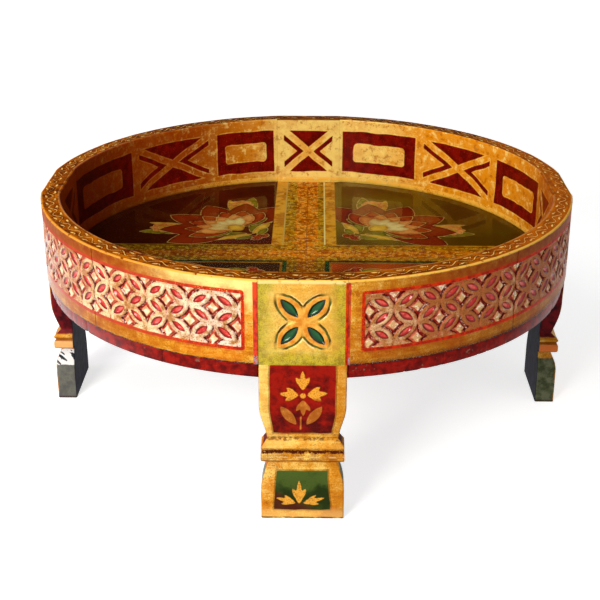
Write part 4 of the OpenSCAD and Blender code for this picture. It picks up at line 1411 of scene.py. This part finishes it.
def plank_piece(name, x_low, x_high, replaced, seed):
    """Top grid, the levels of wall round it, and the mirrored bottom grid."""
    x, y = plank_grid(x_low, x_high)
    kept, touched = plank_cells(x, y)
    beside = np.pad(kept, 1)
    used = beside[:-1, :-1] | beside[1:, :-1] | beside[:-1, 1:] | beside[1:, 1:]
    number = np.cumsum(used).reshape(used.shape) - 1
    place, on_edge = np.stack([x[used], y[used]], -1), touched[used]
    on_seam = (np.abs(place[:, 0] - x_low) < 0.01) | (np.abs(place[:, 0] - x_high) < 0.01)
    pushed = place * (BOARD_R / np.maximum(np.hypot(*place.T), 1))[:, None]
    reach = np.sqrt(np.maximum(BOARD_R**2 - place[:, 0]**2, 0))
    straight = np.stack([place[:, 0], np.sign(place[:, 1]) * reach], -1)
    place = np.where(on_edge[:, None], np.where(on_seam[:, None], straight, pushed), place)

    edges = border_edges(kept, number)
    away = outward(place, edges)
    around = np.unique(edges)
    compact = np.zeros(len(place), int)
    compact[around] = np.arange(len(around))
    softness = np.where(on_edge, BOARD_ROUND, SEAM_ROUND)
    knocks = cloud(place[:, 0] + place[:, 1] * 1.7, place[:, 1], 8, seed)
    edge_mark = KNOCK_DEPTH * ease(knocks, 0.62, 0.95) * on_edge

    def ring(level):
        """Points of a level. Border points move inwards by the rounding and by the chips."""
        moved = place - away * (INSETS[level] * softness + edge_mark * NEAR_CORNER[level])[:, None]
        return np.column_stack([moved, np.full(len(place), LEVELS[level])])

    last = len(LEVELS) - 1
    points = np.concatenate([ring(0), ring(last)] + [ring(k)[around] for k in range(1, last)])
    n, m = len(place), len(around)
    starts = [edges] + [2 * n + k * m + compact[edges] for k in range(last - 1)] + [edges + n]
    walls = [np.stack([p[:, 1], p[:, 0], q[:, 0], q[:, 1]], -1) for p, q in zip(starts[:-1], starts[1:])]
    a, b, c, d = number[:-1, :-1][kept], number[1:, :-1][kept], number[1:, 1:][kept], number[:-1, 1:][kept]
    cap, base = np.stack([a, b, c, d], -1), np.stack([a, d, c, b], -1) + n
    faces = np.concatenate([cap, base] + walls)
    zones = np.repeat([BOARD_TOP, BOARD_UNDER, BOARD_EDGE], [len(cap), len(base), last * len(edges)])
    inks = {ink: np.concatenate([values, np.full(len(points) - n, FAR)])
            for ink, values in flower_inks(place[:, 0], place[:, 1]).items()}
    add_piece(name, points, faces.tolist(), zones, np.isin(zones, [BOARD_TOP, BOARD_UNDER]), inks,
              [board_top, board_edge, board_under], replaced)


print("levels of a plank's wall:", len(LEVELS))

# %% [markdown]
# The painted cross lies over the flower pattern. Its strips are told by the distance from the
# nearer axis, and behind the middle the upright strip is wider. The cut edge is plain maroon,
# chipped down to the wood, and the underside is bare wood.

# %% Paints of the floor, and the four planks
STRIP_HALF, WIDE_STRIP_HALF = 30.0, 42.0


def board_top_paint():
    """The painted strips, and between them four grounds with the flower pattern, which a painted shadow
    darkens towards the sides. The strips are dabbed with small flecks, and painted shade darkens them towards
    the left and the front. Behind the middle the upright strip is wider and has gold borders, and the others
    have dark green ones."""
    paint = Paint("board_top")
    inks = {ink: paint.distance(ink) for ink in INKS}
    wide, deep = paint.x.size(), paint.y.size()
    worn, fine, broad = paint.noise(9, 3, 0.6), paint.noise(1.4, 3, 0.65), paint.noise(40, 3, 0.6)
    right, back = paint.x.ramp(-0.5, 0.5), paint.y.ramp(-0.5, 0.5)
    paint.colour = paint.mix(back, paint.mix(right, (64, 30, 2), (200, 72, 2)),
                             paint.mix(right, (84, 18, 2), (116, 84, 6)))
    # Painted shadow darkens the grounds in patches, towards the sides and most in front.
    shadow = paint.noise(70, 2).ramp(0.42, 0.62) * 0.5
    shadow = shadow.most(wide.ramp(60, 130) * (1 - back) * 0.6).most(wide.ramp(110, 200) * 0.7)
    paint.lay(shadow, paint.mix(right, (26, 3, 1), (70, 44, 2)))
    paint.lay(fine.ramp(0.55, 0.66) * 0.3, (140, 86, 14))
    nearest = None
    strokes = paint.noise(5, 4, 0.7, stretch=(0.5, 0.5, 1))
    for ink, edge in inks.items():
        dark, light = INKS[ink]
        inner = (strokes * 1.6 - edge * 0.10 - 0.5).ramp(0.1, 0.9)
        paint.lay(edge.ramp(0.3, -0.3), paint.mix(inner, dark, light))
        nearest = edge.size() if nearest is None else nearest.least(edge.size())
    paint.lay(nearest.ramp(0.7, 0.25) * worn.ramp(0.34, 0.50) * 0.8, (222, 176, 100))

    varnish = paint.noise(55, 3, 0.6).ramp(0.40, 0.62) * 0.45
    paint.lay(varnish, paint.mix(1.0, paint.colour, (214, 160, 90), "MULTIPLY"))

    flecks = paint.cells(4.8).between(0.18, 0.40, 0.05) * fine.ramp(0.42, 0.48)
    # Painted shade darkens the strips towards the left and the front.
    strip_shade = paint.x.ramp(-40, -150).most(paint.y.ramp(0, -40)) * 0.65
    orange = paint.stack((176, 78, 0), (worn.ramp(0.40, 0.62), (244, 130, 4)), (strip_shade, (92, 34, 0)),
                         (flecks * (1 - strip_shade * 0.8), (255, 186, 66)))
    olive = paint.stack(
        (128, 76, 0), (worn.ramp(0.40, 0.62), (204, 128, 2)),
        (deep.ramp(100, 45) * 0.75, paint.mix(worn.ramp(0.4, 0.6), (166, 86, 0), (232, 132, 0))),
        (strip_shade, (54, 44, 4)), (flecks * (0.9 - strip_shade * 0.5), (232, 186, 48)))
    stripes = paint.mix((worn + broad).ramp(0.86, 1.12), (190, 104, 8), (232, 156, 36))
    dark_green = paint.mix(worn.ramp(0.4, 0.6), (16, 36, 10), (44, 66, 22))

    skew = wide + paint.x.ramp(13, 20) * 6
    line = paint.mix(right, (206, 160, 78), (240, 210, 136))
    upright = paint.stack(
        orange, (skew.wobble(worn, 3).ramp(13.5, 14.5), olive),
        (skew.between(27.0, 29.0, 0.3), line), (skew.ramp(28.7, 29.3), stripes))
    paint.lay(skew.ramp(WIDE_STRIP_HALF + 0.3, WIDE_STRIP_HALF - 0.3) * back, upright)
    strip = wide.least(deep)
    cross = paint.stack(
        orange, (strip.wobble(worn, 6).ramp(8.0, 12.0), olive),
        (strip.ramp(21.6, 22.4) * paint.y.ramp(4, -4).most(0.35), dark_green),
        (strip.ramp(26.8, 27.4), paint.mix(strip_shade, stripes, (96, 52, 6))),
        (wide.ramp(30, 60) * 0.18, (48, 6, 0)))
    edges = STRIP_HALF + 0.3, STRIP_HALF - 0.3
    paint.lay(strip.ramp(*edges) * paint.y.ramp(*edges), cross)
    return paint.finish(0.36 + fine * 0.16, fine * 0.3 + worn * 0.5, specular=0.005)


def board_edge_paint():
    """Maroon paint on the cut edge, knocked off in places down to the wood."""
    paint = Paint("board_edge")
    worn, fine = paint.noise(9, 3, 0.6), paint.noise(1.5, 3, 0.7)
    paint.colour = paint.mix(worn.ramp(0.32, 0.66), (92, 6, 4), (152, 22, 10))
    chips = paint.noise(7, 3, 0.65).ramp(0.65, 0.69)
    bare = paint.mix(fine, (60, 30, 24), (168, 116, 92))
    low_edge = (paint.z + worn * 4).ramp(BOARD_LOW + 4.5, BOARD_LOW + 2)
    paint.lay(low_edge * 0.7, (36, 8, 10))
    paint.lay(chips, bare)
    paint.lay(fine.ramp(0.60, 0.70) * 0.5, BLACK)
    return paint.finish(0.38 + fine * 0.2 + chips * 0.2, worn * 0.6 - chips * 1.2,
                        coat=paint.x.ramp(-120, -260) * 0.8 + paint.x.ramp(190, 265) * 0.3 + 0.06)


ALONG_X, ALONG_Y = (0.06, 1, 1), (1, 0.06, 1)


def wood_paint(name, dark, light, stretch):
    """Plain wood: noise drawn out along the grain, and darker pores on the same lines."""
    paint = Paint(name)
    rings, pores = paint.noise(9, 4, 0.6, stretch=stretch), paint.noise(1.2, 3, 0.6, stretch=stretch)
    stains = paint.noise(60, 3, 0.6)
    paint.colour = paint.mix(rings.ramp(0.34, 0.66), dark, light)
    paint.lay(pores.ramp(0.56, 0.68) * 0.6, paint.mix(0.5, dark, BLACK))
    paint.lay(stains.ramp(0.50, 0.70) * 0.4, dark)
    return paint.finish(0.6 + pores * 0.2, rings * 0.5 - pores * 0.6)


board_top, board_edge = board_top_paint(), board_edge_paint()
board_under = wood_paint("board_under", (62, 38, 24), (104, 68, 42), ALONG_Y)
PLANK_ENDS = [-BOARD_R, -SEAM_X, 0, SEAM_X, BOARD_R]
for k, side in enumerate(["left_outer", "left_inner", "right_inner", "right_outer"]):
    plank_piece(f"painted_plank_{side}", PLANK_ENDS[k], PLANK_ENDS[k + 1], f"plank_{side}", 70 + k)
print("planks laid")

# %% [markdown]
# ## Wood, steel and glass
# The hidden pegs, the battens and the screws keep their ready-made meshes, and only get a
# material. The glass lets light straight through and adds its mirror image on top. How much it
# mirrors depends on the angle, which the Fresnel node works out. Its front half mirrors hardly
# anything, so that the painting under it stays clear.

# %% Materials for the ready-made nodes
WHITE = shade(255, 255, 255)


def steel_paint():
    """Zinc-plated screws, a little stained."""
    paint = Paint("screw_steel")
    worn, fine = paint.noise(4, 3, 0.6), paint.noise(0.7, 2)
    paint.colour = paint.mix(worn.ramp(0.4, 0.66), (176, 172, 160), (120, 104, 84))
    return paint.finish(0.28 + worn * 0.25, fine, metallic=0.9, lift=0.00005)


def glass_paint():
    """Clear glass: see-through with a faint green, and on its outer side a mirror. The mirror's
    share is Fresnel's, times 0.03 in front and 0.43 at the back."""
    paint = Paint("glass_clear")
    outer_side = 1 - paint.add("ShaderNodeNewGeometry", output="Backfacing")
    clear = paint.add("ShaderNodeBsdfTransparent", inputs={0: shade(248, 252, 248)})
    mirror = paint.add("ShaderNodeBsdfGlossy", inputs={"Color": WHITE, "Roughness": 0.06})
    share = paint.add("ShaderNodeFresnel", inputs={"IOR": 1.45}) * outer_side
    share = share * (paint.y.ramp(40, 120) * 0.4 + 0.03)
    both = paint.add("ShaderNodeMixShader", inputs={0: share, 1: clear, 2: mirror})
    paint.add("ShaderNodeOutputMaterial", inputs={0: both})
    return paint.material


def dress(node, paint):
    """Gives a ready-made node its material in every slot."""
    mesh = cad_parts[node].data
    for slot in range(len(mesh.materials)):
        mesh.materials[slot] = paint


batten_wood = wood_paint("batten_wood", (96, 62, 36), (150, 106, 66), ALONG_X)
peg_wood = wood_paint("peg_wood", (168, 128, 84), (212, 176, 128), ALONG_X)
screw_steel, glass_clear = steel_paint(), glass_paint()
for paint, nodes in ((batten_wood, ("batten_front", "batten_back")),
                     (peg_wood, ("leg_pegs", "splice_pegs", "board_pegs", "plank_pegs")),
                     (screw_steel, ("rim_screws", "batten_screws")), (glass_clear, ("glass_disc",))):
    for node in nodes:
        dress(node, paint)
print("slots of the glass:", len(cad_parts["glass_disc"].data.materials))

# %% [markdown]
# ## Floor and light
# The table stands on white paper. The camera sees the paper as white, and a part of it is
# plain diffuse, so the shadow under the table stays. The strongest soft lamp stands in front
# on the left and makes the highlights. Weaker ones stand on the right, far on the left and
# over the table, and the world fills the shadows.

# %% Floor, lamps and world
def seen(start):
    """1 for rays from the camera, off a mirror or through glass, and 0 for all others."""
    from_camera, off_mirror, through = (start.add("ShaderNodeLightPath", output=f"Is {kind} Ray")
                                        for kind in ("Camera", "Glossy", "Transmission"))
    return from_camera.most(off_mirror).most(through)


def stage_paint():
    """Pale paper that keeps the shadow: diffuse light, and a glow that only the camera, mirrors
    and glass see, a little stronger far away. From below the paper is clear."""
    paint = Paint("paper")
    matt = paint.add("ShaderNodeBsdfDiffuse", inputs={0: (0.8, 0.8, 0.8, 1)})
    far = paint.place.length().ramp(900, 2500)
    glow = paint.add("ShaderNodeEmission", inputs={0: WHITE, "Strength": seen(paint) * (far * 0.12 + 0.7)})
    both = paint.add("ShaderNodeAddShader", inputs={0: matt, 1: glow})
    below = paint.add("ShaderNodeNewGeometry", output="Backfacing")
    clear = paint.add("ShaderNodeBsdfTransparent")
    both = paint.add("ShaderNodeMixShader", inputs={0: below, 1: both, 2: clear})
    paint.add("ShaderNodeOutputMaterial", inputs={0: both})
    return paint.material


def lamp(name, place, aim, width, power, colour):
    """A soft square lamp at that place, pointed at the aim: its back looks away from the aim,
    and its side is level."""
    light = bpy.data.lights.new(name, "AREA")
    light.size, light.energy, light.color = width, power, colour
    away = np.array(place, float) - np.array(aim, float)
    back = away / np.linalg.norm(away)
    side = np.cross([0, 0, 1], back)
    side = side / np.linalg.norm(side)
    show(name, light).matrix_world = matrix_of(side, np.cross(back, side), back, place)


FLOOR_SIZE = 8.0
paper = bpy.data.meshes.new("paper")
floor_corners = [(x * FLOOR_SIZE, y * FLOOR_SIZE, 0) for x, y in ((-1, -1), (1, -1), (1, 1), (-1, 1))]
paper.from_pydata(floor_corners, [], [(0, 1, 2, 3)])
paper.materials.append(stage_paint())
floor = show("paper", paper)

lamp("key", (-0.9, -1.8, 1.0), (0, 0, 0.2), 0.6, 30, (1, 0.97, 0.92))
lamp("fill", (1.8, -1.2, 1.0), (0, 0, 0.2), 1.0, 2, (0.96, 0.95, 1))
lamp("edge", (-2.0, -0.3, 0.5), (-0.2, 0, 0.2), 0.6, 9, (0.96, 0.86, 1))
lamp("over", (-0.5, -0.6, 1.3), (0.1, 0.2, 0.15), 0.5, 7, (1, 0.97, 0.92))

world = bpy.data.worlds.new("studio")
bpy.context.scene.world = world
world.use_nodes = True
world.node_tree.nodes.clear()
sky = Wire(world.node_tree, None)
backdrop = sky.add("ShaderNodeBackground", inputs={0: WHITE, 1: seen(sky) * 0.76 + 0.24})
sky.add("ShaderNodeOutputWorld", inputs={0: backdrop})
bpy.context.scene.view_settings.view_transform = "Standard"

# %% [markdown]
